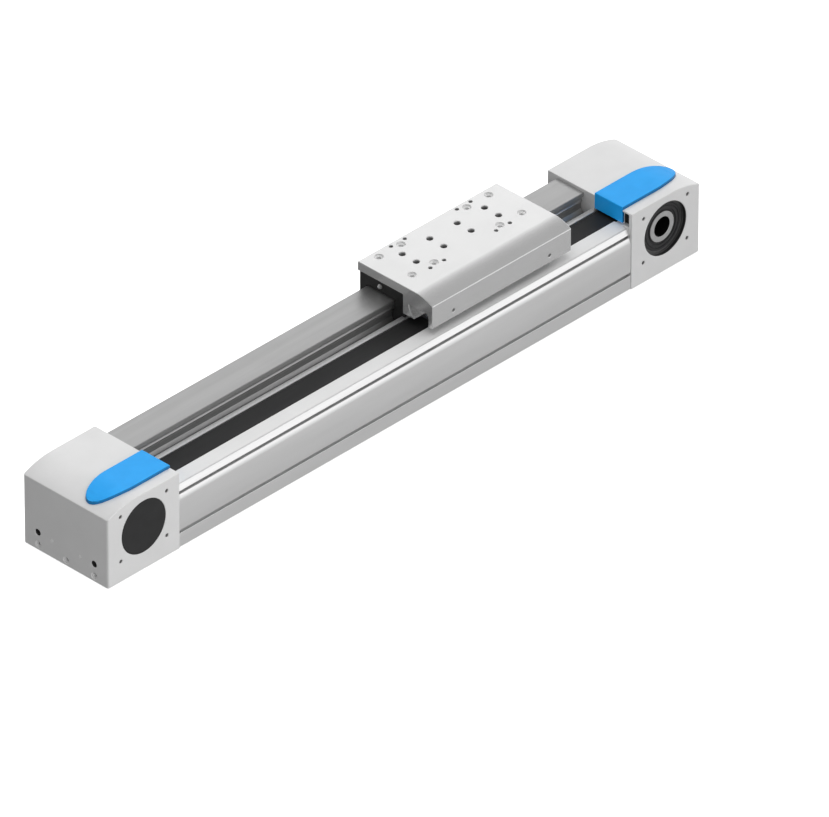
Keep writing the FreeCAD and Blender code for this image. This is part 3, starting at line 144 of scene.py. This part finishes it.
# Soft boxes: name, place, size, watts, and whether metal mirrors it
LIGHTS = [
    ("rear_box", (2.1, 2.3, 1.7), (1.6, 1.0), 2, True),
    ("top_box", (0.2, 0.3, 3.0), (3.0, 3.0), 53, False),
    ("front_box", (-1.0, -1.0, 0.42), (0.9, 0.5), 4.5, False),
]


def deselect():
    bpy.ops.object.select_all(action="DESELECT")


def activate(thing):
    deselect()
    thing.select_set(True)
    bpy.context.view_layer.objects.active = thing


def drop(thing):
    bpy.data.objects.remove(thing)


def edit_all(thing):
    activate(thing)
    bpy.ops.object.mode_set(mode="EDIT")
    bpy.ops.mesh.select_all(action="SELECT")


def leave_edit():
    bpy.ops.object.mode_set(mode="OBJECT")


def apply_modifier(thing, kind, **settings):
    activate(thing)
    modifier = thing.modifiers.new(kind.lower(), kind)
    for name, value in settings.items():
        setattr(modifier, name, value)
    bpy.ops.object.modifier_apply(modifier=modifier.name)


def settle(thing):
    """Puts the object's own place into its mesh."""
    activate(thing)
    bpy.ops.object.transform_apply(location=True, rotation=True, scale=True)


def round_edges(thing, width):
    """Rounds the sharp edges and leaves the flat faces flat to the eye."""
    apply_modifier(
        thing, "BEVEL", width=width * MM, segments=EDGE_STEPS, limit_method="ANGLE",
        angle_limit=math.radians(SHARP), use_clamp_overlap=False, miter_outer="MITER_ARC",
        loop_slide=False,
    )
    shade(thing)


def shade(thing, angle=CREASE):
    """Shades smooth except over edges that turn more than the angle."""
    activate(thing)
    bpy.ops.object.shade_smooth_by_angle(angle=math.radians(angle))
    apply_modifier(thing, "WEIGHTED_NORMAL", keep_sharp=True)


def copy_of(node, name):
    """A merged copy of a CAD node, its flat faces whole again."""
    piece = bpy.data.objects.new(name, NODES[node].data.copy())
    bpy.context.scene.collection.objects.link(piece)
    piece.data.materials.clear()
    edit_all(piece)
    bpy.ops.mesh.remove_doubles(threshold=MERGE)
    bpy.ops.mesh.dissolve_limited(angle_limit=math.radians(ONE_FACE))
    leave_edit()
    return piece


def trim(piece, node):
    """Puts corners that a rounding pushed out of the node's box back onto it."""
    low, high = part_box(node)
    for vertex in piece.data.vertices:
        vertex.co = [min(max(c, a), b) for c, a, b in zip(vertex.co, low, high)]


def finish(piece, node, finish_material, replace=True):
    """Gives a piece the body, slot and finish of the CAD node that it stands for or sits on."""
    trim(piece, node)
    piece.data.materials.clear()
    piece.data.materials.append(finish_material)
    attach(piece, BODY_OF[node])
    if replace:
        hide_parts(node)


def refined(node, width, finish_material):
    """A copy of a CAD node with rounded edges, in place of the node."""
    piece = copy_of(node, node + "_shown")
    round_edges(piece, width)
    finish(piece, node, finish_material)
    return piece


def paint(piece, extra, wanted):
    """Gives another finish to the faces whose corners all pass the test."""
    piece.data.materials.append(extra)
    last = len(piece.data.materials) - 1
    corners = [vertex.co for vertex in piece.data.vertices]
    for polygon in piece.data.polygons:
        if all(wanted(corners[i]) for i in polygon.vertices):
            polygon.material_index = last


def turn_to(axis):
    """The turn that takes +Z to the axis."""
    return Vector(axis).to_track_quat("Z", "Y").to_matrix().to_4x4()


def turned(name, profile, steps):
    """Spins a closed section of (radius, height) points, in millimetres, round the Z axis."""
    deselect()
    bpy.ops.mesh.primitive_circle_add(vertices=len(profile), radius=MM)
    piece = bpy.context.object
    piece.name = name
    for vertex, (radius, height) in zip(piece.data.vertices, profile):
        vertex.co = (radius * MM, 0, height * MM)
    edit_all(piece)
    bpy.ops.mesh.spin(steps=steps, angle=2 * math.pi, center=(0, 0, 0), axis=(0, 0, 1))
    bpy.ops.mesh.select_all(action="SELECT")
    bpy.ops.mesh.remove_doubles(threshold=MERGE)
    bpy.ops.mesh.delete_loose()
    bpy.ops.mesh.select_all(action="SELECT")
    bpy.ops.mesh.normals_make_consistent(inside=False)
    leave_edit()
    return piece


def hexagon_cut(piece, across, low, high):
    """Cuts a hexagon socket along the Z axis."""
    deselect()
    bpy.ops.mesh.primitive_cylinder_add(
        vertices=6, radius=across / math.sqrt(3) * MM, depth=(high - low) * MM,
        location=(0, 0, (low + high) / 2 * MM),
    )
    cutter = bpy.context.object
    settle(cutter)
    apply_modifier(piece, "BOOLEAN", operation="DIFFERENCE", solver="EXACT", object=cutter)
    drop(cutter)


def laid_out(name, pattern, places):
    """Copies a piece to each (spot, axis), turned to the axis, and joins the copies."""
    copies = []
    for spot, axis in places:
        piece = pattern.copy()
        piece.data = pattern.data.copy()
        bpy.context.scene.collection.objects.link(piece)
        piece.data.transform(Matrix.Translation(Vector(spot)) @ turn_to(axis))
        copies.append(piece)
    drop(pattern)
    activate(copies[0])
    for piece in copies:
        piece.select_set(True)
    if len(copies) > 1:
        bpy.ops.object.join()
    joined = bpy.context.object
    joined.name = name
    return joined


def hole_spots(mount):
    """Centres of the mouths of a pattern's holes, in metres."""
    middle = Vector(mount["pos_m"])
    axis = [abs(a) for a in mount["axis"]]
    across, up = [i for i in range(3) if axis[i] < 0.5]
    half_x = mount["dims"]["spacing_x_mm"] / 2 * MM
    half_y = mount["dims"].get("spacing_y_mm", 0) / 2 * MM
    spots = []
    for sign_x in (-1, 1):
        for sign_y in ((-1, 1) if half_y else (0,)):
            spot = middle.copy()
            spot[across] += sign_x * half_x
            spot[up] += sign_y * half_y
            spots.append(spot)
    return spots


def solids_of(node):
    """Boxes of the separate solids of a CAD node."""
    activate(copy_of(node, node + "_parts"))
    bpy.ops.mesh.separate(type="LOOSE")
    boxes = []
    for part in list(bpy.context.selected_objects):
        spots = [vertex.co for vertex in part.data.vertices]
        low = Vector([min(spot[i] for spot in spots) for i in range(3)])
        high = Vector([max(spot[i] for spot in spots) for i in range(3)])
        boxes.append((low, high))
        drop(part)
    return boxes


def round_some(piece, width, wanted):
    """Rounds the edges that the test picks. Its steps are too fine for a later round_edges."""
    corners = piece.data.vertices
    sides = {}
    for polygon in piece.data.polygons:
        for key in polygon.edge_keys:
            sides.setdefault(key, []).append(polygon.normal.copy())
        polygon.select = False
    for vertex in corners:
        vertex.select = False
    for edge in piece.data.edges:
        a, b = [corners[i].co for i in edge.vertices]
        edge.select = wanted(a, b, sides[edge.key])
    activate(piece)
    bpy.ops.object.mode_set(mode="EDIT")
    bpy.ops.mesh.select_mode(type="EDGE")
    bpy.ops.mesh.bevel(
        offset=width * MM, segments=FINE_STEPS, affect="EDGES", clamp_overlap=False,
        loop_slide=False,
    )
    leave_edit()


def round_holes(piece, mount, width):
    """Rounds the mouths of a pattern's holes more than the other edges."""
    axis = [i for i in range(3) if abs(mount["axis"][i]) > 0.5][0]
    radius = mount["dims"]["hole_r_mm"] * MM
    spots = hole_spots(mount)

    def on_mouth(corner, spot):
        level = abs(corner[axis] - spot[axis]) < NEAR
        return level and abs((corner - spot).length - radius) < NEAR

    def rim(a, b, _):
        short = (a - b).length < radius
        return short and any(on_mouth(a, spot) and on_mouth(b, spot) for spot in spots)

    round_some(piece, width, rim)


class Finish:
    """A node material that is filled step by step. Patterns lie in object space."""

    def __init__(self, name):
        self.material = bpy.data.materials.new(name)
        self.material.use_nodes = True
        self.nodes = self.material.node_tree.nodes
        self.links = self.material.node_tree.links
        self.shader = self.nodes["Principled BSDF"]
        self.place = self.nodes.new("ShaderNodeTexCoord").outputs["Object"]

    def set(self, **values):
        for name, value in values.items():
            self.shader.inputs[name.replace("_", " ")].default_value = value
        return self

    def pattern(self, scale, stretch=(1, 1, 1), detail=3.0, roughness=0.5):
        """Noise with so many features a metre, drawn out by stretch."""
        mapping = self.nodes.new("ShaderNodeMapping")
        mapping.inputs["Scale"].default_value = [1 / s for s in stretch]
        noise = self.nodes.new("ShaderNodeTexNoise")
        noise.inputs["Scale"].default_value = scale
        noise.inputs["Detail"].default_value = detail
        noise.inputs["Roughness"].default_value = roughness
        self.links.new(self.place, mapping.inputs["Vector"])
        self.links.new(mapping.outputs["Vector"], noise.inputs["Vector"])
        return noise.outputs["Fac"]

    def colour(self, source, dark, light):
        ramp = self.nodes.new("ShaderNodeValToRGB")
        ramp.color_ramp.elements[0].position = NOISE_LOW
        ramp.color_ramp.elements[0].color = (*dark, 1)
        ramp.color_ramp.elements[1].position = NOISE_HIGH
        ramp.color_ramp.elements[1].color = (*light, 1)
        self.links.new(source, ramp.inputs["Fac"])
        self.links.new(ramp.outputs["Color"], self.shader.inputs["Base Color"])

    def roughness(self, source, smooth, rough):
        spread = self.nodes.new("ShaderNodeMapRange")
        spread.inputs["From Min"].default_value = NOISE_LOW
        spread.inputs["From Max"].default_value = NOISE_HIGH
        spread.inputs["To Min"].default_value = smooth
        spread.inputs["To Max"].default_value = rough
        self.links.new(source, spread.inputs["Value"])
        self.links.new(spread.outputs["Result"], self.shader.inputs["Roughness"])

    def bump(self, source, depth, strength):
        """Relief of a depth in millimetres. A second call lies on the first."""
        relief = self.nodes.new("ShaderNodeBump")
        relief.inputs["Strength"].default_value = strength
        relief.inputs["Distance"].default_value = depth * MM
        self.links.new(source, relief.inputs["Height"])
        normal = self.shader.inputs["Normal"]
        if normal.is_linked:
            self.links.new(normal.links[0].from_socket, relief.inputs["Normal"])
        self.links.new(relief.outputs["Normal"], normal)


def grey(value):
    return (value, value, value)


def cast_aluminium(name, light, metallic=0.35):
    """Fine matt surface: faint cloudiness and a very fine grain."""
    coat = Finish(name).set(Metallic=metallic, Specular_IOR_Level=0.4)
    clouds = coat.pattern(30, detail=4)
    fine = coat.pattern(2600, detail=2)
    coat.colour(clouds, grey(light * 0.96), grey(light))
    coat.roughness(fine, 0.42, 0.56)
    coat.bump(fine, 0.05, 0.35)
    return coat.material


def extruded_aluminium(name, light, smooth, rough):
    """Anodised extrusion: soft lines along X from the die."""
    coat = Finish(name).set(Metallic=0.72, Specular_IOR_Level=0.5)
    lines = coat.pattern(700, (60, 1, 1), detail=3)
    broad = coat.pattern(90, (30, 1, 1), detail=2)
    coat.colour(broad, grey(light * 0.97), grey(light))
    coat.roughness(lines, smooth, rough)
    coat.bump(lines, 0.006, 0.3)
    return coat.material


def milled_aluminium(name, light):
    """Anodised after milling: faint cutter marks, then a fine grain."""
    coat = Finish(name).set(Metallic=0.78, Specular_IOR_Level=0.5)
    marks = coat.pattern(500, (14, 1, 1), detail=3)
    fine = coat.pattern(2400, detail=2)
    clouds = coat.pattern(40, detail=3)
    coat.colour(clouds, grey(light * 0.965), grey(light))
    coat.roughness(marks, 0.25, 0.27)
    coat.bump(fine, 0.001, 0.2)
    return coat.material


def brushed_steel(name, light, stretch, smooth, rough, metallic=0.9):
    """Ground steel with fine lines along the stretch."""
    coat = Finish(name).set(Metallic=metallic, Specular_IOR_Level=0.5)
    lines = coat.pattern(1500, stretch, detail=4)
    broad = coat.pattern(120, stretch, detail=2)
    coat.colour(broad, grey(light * 0.9), grey(light))
    coat.roughness(lines, smooth, rough)
    coat.bump(lines, 0.02, 0.3)
    return coat.material


def turned_steel(name, light, rough=0.3):
    """Turned metal: a fine even grain over faint clouds."""
    coat = Finish(name).set(Metallic=0.95, Specular_IOR_Level=0.5)
    fine = coat.pattern(1800, (1, 6, 1), detail=3)
    clouds = coat.pattern(160, detail=3)
    coat.colour(clouds, grey(light * 0.88), grey(light))
    coat.roughness(fine, rough, rough + 0.14)
    coat.bump(fine, 0.02, 0.3)
    return coat.material


def moulded(name, dark, light, smooth, rough, grain=0.04, specular=0.5):
    """Moulded plastic: a fine spark-eroded grain and slight unevenness of colour."""
    coat = Finish(name).set(Specular_IOR_Level=specular)
    grains = coat.pattern(1900, detail=3, roughness=0.6)
    clouds = coat.pattern(70, detail=3)
    coat.colour(clouds, dark, light)
    coat.roughness(grains, smooth, rough)
    coat.bump(grains, grain, 0.5)
    return coat.material


def belt_rubber(name):
    """Belt back: matt, with the fine cross ribs of its fabric."""
    coat = Finish(name).set(Specular_IOR_Level=0.35)
    clouds = coat.pattern(60, (8, 1, 1), detail=3)
    wave = coat.nodes.new("ShaderNodeTexWave")
    wave.wave_type = "BANDS"
    wave.bands_direction = "X"
    wave.inputs["Scale"].default_value = 320
    wave.inputs["Distortion"].default_value = 0.6
    coat.links.new(coat.place, wave.inputs["Vector"])
    fine = coat.pattern(2200, detail=2)
    coat.colour(clouds, (0.014, 0.014, 0.0145), (0.023, 0.023, 0.0235))
    coat.roughness(fine, 0.5, 0.66)
    coat.bump(wave.outputs["Fac"], 0.03, 0.35)
    coat.bump(fine, 0.03, 0.4)
    return coat.material


# Finishes in use; the ones noted below are painted shade or painted light
HOUSING = cast_aluminium("cast_housing", 0.86)
PROFILE = extruded_aluminium("anodised_profile", 0.82, 0.28, 0.36)
CARRIAGE = milled_aluminium("anodised_carriage", 0.84)
RAIL = brushed_steel("ground_rail", 0.46, (40, 1, 1), 0.32, 0.46)
STRIP = brushed_steel("rail_strip", 0.53, (40, 1, 1), 0.30, 0.42, 0.85)
RUNNER = brushed_steel("ground_runner", 0.42, (20, 1, 1), 0.34, 0.48)
SHAFT = turned_steel("turned_shaft", 0.62)
BEARING = turned_steel("bearing_rings", 0.6, 0.2)
SCREW = turned_steel("zinc_screws", 0.45, 0.34)
DOWEL = cast_aluminium("pale_dowels", 0.96)
NIPPLE = turned_steel("nipple_zinc", 0.85, 0.26)
SUPPORT = turned_steel("turned_support", 0.7, 0.36)
# Cut thread in the tapped holes; the same dark grey is painted into the holes over the end screws as
# painted shade
THREAD_AND_HOLE_SHADE = turned_steel("cut_thread_and_hole_shade", 0.40, 0.4)
# Painted shade: near black for the inside of the drive shaft's bore
BORE_SHADE = turned_steel("bore_painted_shade", 0.035, 0.5)
# Painted shade: dark grey for the recess round the drive shaft's seal
RECESS_SHADE = turned_steel("recess_painted_shade", 0.13, 0.36)
# Painted light: lighter than the carriage, for the inside of its centring holes
HOLE_LIGHT = cast_aluminium("hole_painted_light", 0.92)
LAND = cast_aluminium("matt_land", 0.82, 0.08)
BLUE = moulded("blue_cover", (0.012, 0.380, 0.930), (0.018, 0.420, 0.990), 0.36, 0.48, 0.04, 0.3)
# Painted shade: a deeper blue for the covers' upright rim
BLUE_RIM_SHADE = moulded("blue_rim_painted_shade", (0.006, 0.170, 0.430), (0.008, 0.190, 0.470), 0.40, 0.50, 0.04, 0.3)
# Black plastic of the seals and end caps, also painted into the niches beside the covers as painted
# shade
BLACK = moulded("black_plastic_and_niche_shade", (0.013, 0.013, 0.013), (0.020, 0.020, 0.020), 0.42, 0.56)
CAP = moulded("cap_plastic", (0.013, 0.013, 0.0135), (0.018, 0.018, 0.0185), 0.5, 0.62, 0.05, 0.4)
RUBBER = moulded("seal_rubber", (0.022, 0.022, 0.023), (0.034, 0.034, 0.035), 0.48, 0.62, 0.03, 0.4)
CLAMP = moulded("dark_clamp", (0.05, 0.05, 0.052), (0.075, 0.075, 0.078), 0.36, 0.5)
BELT = belt_rubber("belt_polyurethane")

# CAD nodes that are shown as they are, with their finish
STAY = {
    "toothed_belt": BELT,
    "rail_screws": SCREW,
    "runner_screws": SCREW,
    "drive_pulley_flanges": SUPPORT,
    "drive_bearing_inner_rings": BEARING,
    "drive_bearing_outer_rings": BEARING,
    "drive_spacers": SHAFT,
    "idler_pulley_flanges": SUPPORT,
    "idler_bearing_inner_rings": BEARING,
    "idler_bearing_outer_rings": BEARING,
    "idler_axle_supports": SUPPORT,
    "idler_axle": SHAFT,
    "idler_spacers": SHAFT,
}


def keep_cad_nodes():
    for node, finish_material in STAY.items():
        for slot in NODES[node].material_slots:
            slot.material = finish_material


def standing_pieces():
    paint_land(refined("base_profile", EXTRUDED_EDGE, PROFILE))
    refined("guide_rail", GROUND_EDGE, RAIL)
    refined("rail_cover_strip", SHEET_EDGE, STRIP)
    for end in ("idler", "drive"):
        housing = refined(end + "_housing", CAST_EDGE, HOUSING)
        paint_niche_shade(housing, end)
        if end == "drive":
            paint_recess_shade(housing)
        paint_screw_hole_shade(housing)
        for title in FLANGE_PATTERNS[end]:
            thread_sleeves(title, end + "_housing")
    belt_covers()
    refined("end_dowels", GROUND_EDGE, DOWEL)
    socket_screws("housing_screws", head=3.5, shank=2.0, socket=3.0)
    for side in ("front", "back"):
        refined("idler_cap_" + side, MOULDED_EDGE, CAP)
        drive_seal(side)


def belt_covers():
    """Both plastic covers, their upper edge well rounded except along the end wall."""
    low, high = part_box("drive_belt_cover")
    half_up = (low.z + high.z) / 2

    def outline(a, b, normals):
        heights = [normal.z for normal in normals]
        upper = max(heights) > UPWARD and min(heights) < SIDEWAYS
        along_wall = max(a.x, b.x) < low.x + NEAR
        return upper and min(a.z, b.z) > half_up and not along_wall

    drive = copy_of("drive_belt_cover", "drive_belt_cover_shown")
    round_some(drive, COVER_ROUND, outline)
    idler = drive.copy()
    idler.data = drive.data.copy()
    idler.name = "idler_belt_cover_shown"
    bpy.context.scene.collection.objects.link(idler)
    edit_all(idler)
    bpy.ops.transform.resize(value=(-1, 1, 1), center_override=(0, 0, 0))
    bpy.ops.mesh.normals_make_consistent(inside=False)
    leave_edit()
    for piece, end in ((drive, "drive"), (idler, "idler")):
        round_edges(piece, SMALL_MOULDED_EDGE)
        finish(piece, end + "_belt_cover", BLUE)
        paint_cover_rim_shade(piece, low.x if end == "drive" else -low.x)


def paint_cover_rim_shade(piece, wall):
    """The upright rim of a cover is painted a deeper blue than its top as painted shade, the end wall
    isn't.
    """
    piece.data.materials.append(BLUE_RIM_SHADE)
    for polygon in piece.data.polygons:
        upright = abs(polygon.normal.z) < UPWARD
        if upright and abs(polygon.center.x - wall) > SMALL_MOULDED_EDGE * MM:
            polygon.material_index = 1


def paint_land(piece):
    """The flat land in front of the belt is matt, so that the carriage isn't mirrored in it."""
    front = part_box("toothed_belt")[0].y
    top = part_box("base_profile")[1].z
    paint(piece, LAND, lambda corner: corner.y < front and corner.z > top - EXTRUDED_EDGE * MM)


def paint_niche_shade(piece, end):
    """The narrow niche beside a belt cover is painted black inside, as painted shade."""
    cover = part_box(end + "_belt_cover")[0].y
    low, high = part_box(end + "_housing")
    wall = high.x if end == "idler" else low.x
    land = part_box("base_profile")[1].z

    def inside(corner):
        deep = MM * NICHE_DEEP > abs(corner.x - wall) > MM * CAST_EDGE - NEAR
        beside = low.y + NICHE_WALL * MM < corner.y < cover + NEAR
        return deep and beside and land + NEAR < corner.z < high.z - NICHE_ROOF * MM

    paint(piece, BLACK, inside)


def paint_screw_hole_shade(piece):
    """The deep holes over the end screws are painted dark inside, as painted shade."""
    axes = [((near + far) / 2, (far.z - near.z) / 2) for near, far in solids_of("housing_screws")]
    low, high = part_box(piece.name.removesuffix("_shown"))

    def inside(corner):
        off = [math.hypot(corner.y - spot.y, corner.z - spot.z) - radius for spot, radius in axes]
        past_mouth = min(corner.x - low.x, high.x - corner.x) > CAST_EDGE * MM - NEAR
        return past_mouth and min(off) < SCREW_ROOM * MM + NEAR

    paint(piece, THREAD_AND_HOLE_SHADE, inside)


def paint_recess_shade(piece):
    """The recess round the drive shaft's seal is painted dark, as painted shade."""
    low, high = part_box("drive_seal_front")
    middle = (low + high) / 2
    radius = MOUNTS["motor_pilot_front"]["dims"]["r_mm"] * MM + NEAR

    def inside(corner):
        off = math.hypot(corner.x - middle.x, corner.z - middle.z)
        return abs(corner.y) > abs(high.y) and off < radius

    paint(piece, RECESS_SHADE, inside)


def thread_sleeves(title, node):
    """Fine ridges just inside a pattern's tapped holes, as thread shows in them."""
    mount = MOUNTS[title]
    radius = mount["dims"]["hole_r_mm"]
    pitch = PITCH_BY_CORE[radius]
    outward = Vector(mount["axis"])
    places = [(spot - outward * SLEEVE_START * MM, outward) for spot in hole_spots(mount)]
    outer = radius - SLEEVE_PLAY
    valley = outer - SLEEVE_PLAY
    crest = outer - RIDGE_HEIGHT * pitch
    section = [(outer, 0), (outer, -SLEEVE_TURNS * pitch)]
    for i in range(SLEEVE_TURNS, 0, -1):
        section += [(valley, -(i - 0.1) * pitch), (crest, -(i - 0.5) * pitch)]
    pattern = turned(title + "_ridges", section, THREAD_FACETS)
    shade(pattern, FINE_CREASE)
    finish(laid_out(title + "_shown", pattern, places), node, THREAD_AND_HOLE_SHADE, replace=False)


def socket_screws(node, head, shank, socket):
    """Cap screws with hexagon sockets, heads outwards along X, in place of plain ones."""
    low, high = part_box(node)
    middle = (low.x + high.x) / 2
    places = []
    for near, far in solids_of(node):
        spot = (near + far) / 2
        side = 1 if spot.x > middle else -1
        spot.x = far.x if side > 0 else near.x
        places.append((spot, (side, 0, 0)))
    radius = (far.y - near.y) / 2 / MM
    length = (far.x - near.x) / MM
    section = [
        (0, 0), (radius - 0.4, 0), (radius, -0.4), (radius, -head), (shank, -head),
        (shank, -length + 0.5), (shank - 0.5, -length), (0, -length),
    ]
    pattern = turned(node + "_one", section, SCREW_FACETS)
    hexagon_cut(pattern, socket, low=-head * 0.6, high=0.5)
    shade(pattern, FINE_CREASE)
    finish(laid_out(node + "_shown", pattern, places), node, SCREW)


def grease_nipples():
    """A round foot, a neck and a ball head on each end seal."""
    node = "grease_nipples"
    low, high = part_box(node)
    middle = (low + high) / 2
    radius = (high.y - low.y) / 2 / MM
    places = []
    for near, far in solids_of(node):
        length = (far.x - near.x) / MM
        side = 1 if near.x > middle.x else -1
        spot = Vector((near.x if side > 0 else far.x, middle.y, middle.z))
        places.append((spot, (side, 0, 0)))
    section = [
        (0, 0), (radius, 0), (radius, length * 0.3), (radius - 0.3, length * 0.38),
        (radius * 0.45, length * 0.42), (radius * 0.45, length * 0.52), (radius * 0.66, length * 0.66),
        (radius * 0.66, length * 0.8), (radius * 0.42, length * 0.96), (radius * 0.2, length),
        (radius * 0.14, length * 0.93), (0, length * 0.93),
    ]
    pattern = turned(node + "_one", section, NIPPLE_FACETS)
    shade(pattern, FINE_CREASE)
    finish(laid_out(node + "_shown", pattern, places), node, NIPPLE)


def drive_seal(side):
    """A shaft seal with a stepped face and a lip round the shaft."""
    node = "drive_seal_" + side
    low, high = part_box(node)
    sign = -1 if side == "front" else 1
    outer = (high.x - low.x) / 2 / MM
    thick = (high.y - low.y) / MM
    bore = outer - SEAL_WIDTH
    section = [
        (outer, 0), (outer, thick - 0.4), (outer - 0.4, thick), (outer - 2.4, thick),
        (outer - 2.8, thick - 0.9), (outer - 3.6, thick - 0.9), (outer - 4.0, thick - 0.3),
        (outer - 6.4, thick - 0.3), (outer - 6.9, thick - 1.4), (outer - 8.2, thick - 1.4),
        (bore + 0.9, thick - 0.5), (bore, thick - 0.9), (bore, 1.2), (bore + 2.2, 0),
    ]
    pattern = turned("seal_section", section, SEAL_FACETS)
    middle = (low + high) / 2
    middle.y = high.y if sign < 0 else low.y
    piece = laid_out(node + "_shown", pattern, [(middle, (0, sign, 0))])
    shade(piece, SEAL_CREASE)
    finish(piece, node, RUBBER)


def paint_centring_hole_light(plate):
    """The centring holes are painted lighter than the carriage, painted light that shows them bright
    down to their floor.
    """
    for title in CENTRING_PATTERNS:
        spots = hole_spots(MOUNTS[title])
        radius = MOUNTS[title]["dims"]["hole_r_mm"] * MM + NEAR

        def inside(corner):
            deep = -CENTRING_DEEP * MM < corner.z - spots[0].z < -NEAR
            return deep and any((corner - spot).xy.length < radius for spot in spots)

        paint(plate, HOLE_LIGHT, inside)


def carriage_pieces():
    plate = copy_of("carriage_plate", "carriage_plate_shown")
    for title in LOAD_PATTERNS:
        round_holes(plate, MOUNTS[title], LOAD_HOLE_EDGE)
    round_edges(plate, MILLED_EDGE)
    finish(plate, "carriage_plate", CARRIAGE)
    paint_centring_hole_light(plate)
    for title in LOAD_PATTERNS + SMALL_PATTERNS:
        thread_sleeves(title, "carriage_plate")
    socket_screws("belt_tension_screws", head=4.0, shank=2.0, socket=3.0)
    grease_nipples()
    refined("belt_clamps", SMALL_MOULDED_EDGE, CLAMP)
    refined("runner_end_caps", SMALL_MOULDED_EDGE, BLACK)
    for side in ("left", "right"):
        refined("runner_" + side, GROUND_EDGE, RUNNER)
        refined("end_seal_" + side, SMALL_MOULDED_EDGE, BLACK)


def wheel_pieces():
    shaft = refined("drive_pulley", GROUND_EDGE, SHAFT)
    low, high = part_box("drive_pulley")
    middle = (low + high) / 2
    bore = MOUNTS["drive_shaft_bore"]["dims"]["r_mm"] * MM + NEAR
    # The inside of the bore is painted near black as painted shade
    paint(shaft, BORE_SHADE, lambda corner: math.hypot(corner.x - middle.x, corner.z - middle.z) < bore)
    refined("idler_pulley", TOOTH_EDGE, SHAFT)


def set_up_camera():
    deselect()
    bpy.ops.object.camera_add()
    camera = bpy.context.object
    camera.data.lens = CAMERA_LENS
    camera.data.sensor_width = SENSOR_WIDTH
    camera.data.clip_end = CAMERA_REACH
    turn = (
        Matrix.Rotation(math.radians(CAMERA_AZIMUTH), 4, "Z")
        @ Matrix.Rotation(math.radians(90 - CAMERA_ELEVATION), 4, "X")
        @ Matrix.Rotation(math.radians(CAMERA_ROLL), 4, "Z")
    )
    back = turn.to_3x3() @ Vector((0, 0, CAMERA_DISTANCE))
    camera.matrix_world = Matrix.Translation(Vector(LOOK_AT) + back) @ turn
    bpy.context.scene.camera = camera


def soft_light(name, place, size, power, mirrored):
    """A large soft box that points at the middle of the object."""
    deselect()
    bpy.ops.object.light_add(type="AREA", location=place)
    light = bpy.context.object
    light.name = name
    light.data.shape = "RECTANGLE"
    light.data.size, light.data.size_y = size
    light.data.energy = power
    light.rotation_euler = Vector(place).to_track_quat("Z", "Y").to_euler()
    light.visible_camera = False
    light.visible_glossy = mirrored


def set_up_world():
    """Studio surroundings: brightness by height, a little darker towards -X, white to the eye."""
    world = bpy.context.scene.world or bpy.data.worlds.new("studio")
    bpy.context.scene.world = world
    world.use_nodes = True
    nodes = world.node_tree.nodes
    links = world.node_tree.links
    nodes.clear()
    direction = nodes.new("ShaderNodeTexCoord").outputs["Generated"]
    parts = nodes.new("ShaderNodeSeparateXYZ")
    links.new(direction, parts.inputs["Vector"])
    height = nodes.new("ShaderNodeMapRange")
    height.inputs["From Min"].default_value = -1
    links.new(parts.outputs["Z"], height.inputs["Value"])
    ramp = nodes.new("ShaderNodeValToRGB")
    links.new(height.outputs["Result"], ramp.inputs["Fac"])
    stops = ramp.color_ramp.elements
    while len(stops) < len(WORLD_LEVELS):
        stops.new(1.0)
    for stop, (z, level) in zip(stops, WORLD_LEVELS):
        stop.position = (z + 1) / 2
        stop.color = (level, level, level, 1)
    side = nodes.new("ShaderNodeMapRange")
    side.interpolation_type = "SMOOTHSTEP"
    side.inputs["From Min"].default_value = SHADE_FROM
    side.inputs["From Max"].default_value = SHADE_TO
    side.inputs["To Min"].default_value = SHADE_LEVEL
    side.inputs["To Max"].default_value = 1.0
    links.new(parts.outputs["X"], side.inputs["Value"])
    shaded = nodes.new("ShaderNodeVectorMath")
    shaded.operation = "SCALE"
    links.new(ramp.outputs["Color"], shaded.inputs[0])
    links.new(side.outputs["Result"], shaded.inputs["Scale"])
    surround = nodes.new("ShaderNodeBackground")
    links.new(shaded.outputs["Vector"], surround.inputs["Color"])
    backdrop = nodes.new("ShaderNodeBackground")
    seen = nodes.new("ShaderNodeLightPath")
    mix = nodes.new("ShaderNodeMixShader")
    links.new(seen.outputs["Is Camera Ray"], mix.inputs["Fac"])
    links.new(surround.outputs["Background"], mix.inputs[1])
    links.new(backdrop.outputs["Background"], mix.inputs[2])
    backdrop.inputs["Color"].default_value = (1, 1, 1, 1)
    output = nodes.new("ShaderNodeOutputWorld")
    links.new(mix.outputs["Shader"], output.inputs["Surface"])


def lay_floor():
    """A pale floor that glows a little and is left out of the reflections."""
    deselect()
    bpy.ops.mesh.primitive_plane_add(size=FLOOR_SIZE, location=(0, 0, -FLOOR_DROP))
    floor = bpy.context.object
    floor.name = "studio_floor"
    coat = Finish("pale_floor").set(Specular_IOR_Level=0.1, Roughness=0.9)
    coat.colour(coat.pattern(2.0, detail=2), grey(0.985), grey(1.0))
    coat.set(Emission_Color=(1, 1, 1, 1), Emission_Strength=FLOOR_GLOW)
    floor.data.materials.append(coat.material)
    floor.visible_glossy = False
    floor.visible_diffuse = False


set_up_camera()
set_up_world()
for light in LIGHTS:
    soft_light(*light)
lay_floor()
keep_cad_nodes()
standing_pieces()
carriage_pieces()
wheel_pieces()

bpy.context.scene.view_settings.view_transform = "Standard"
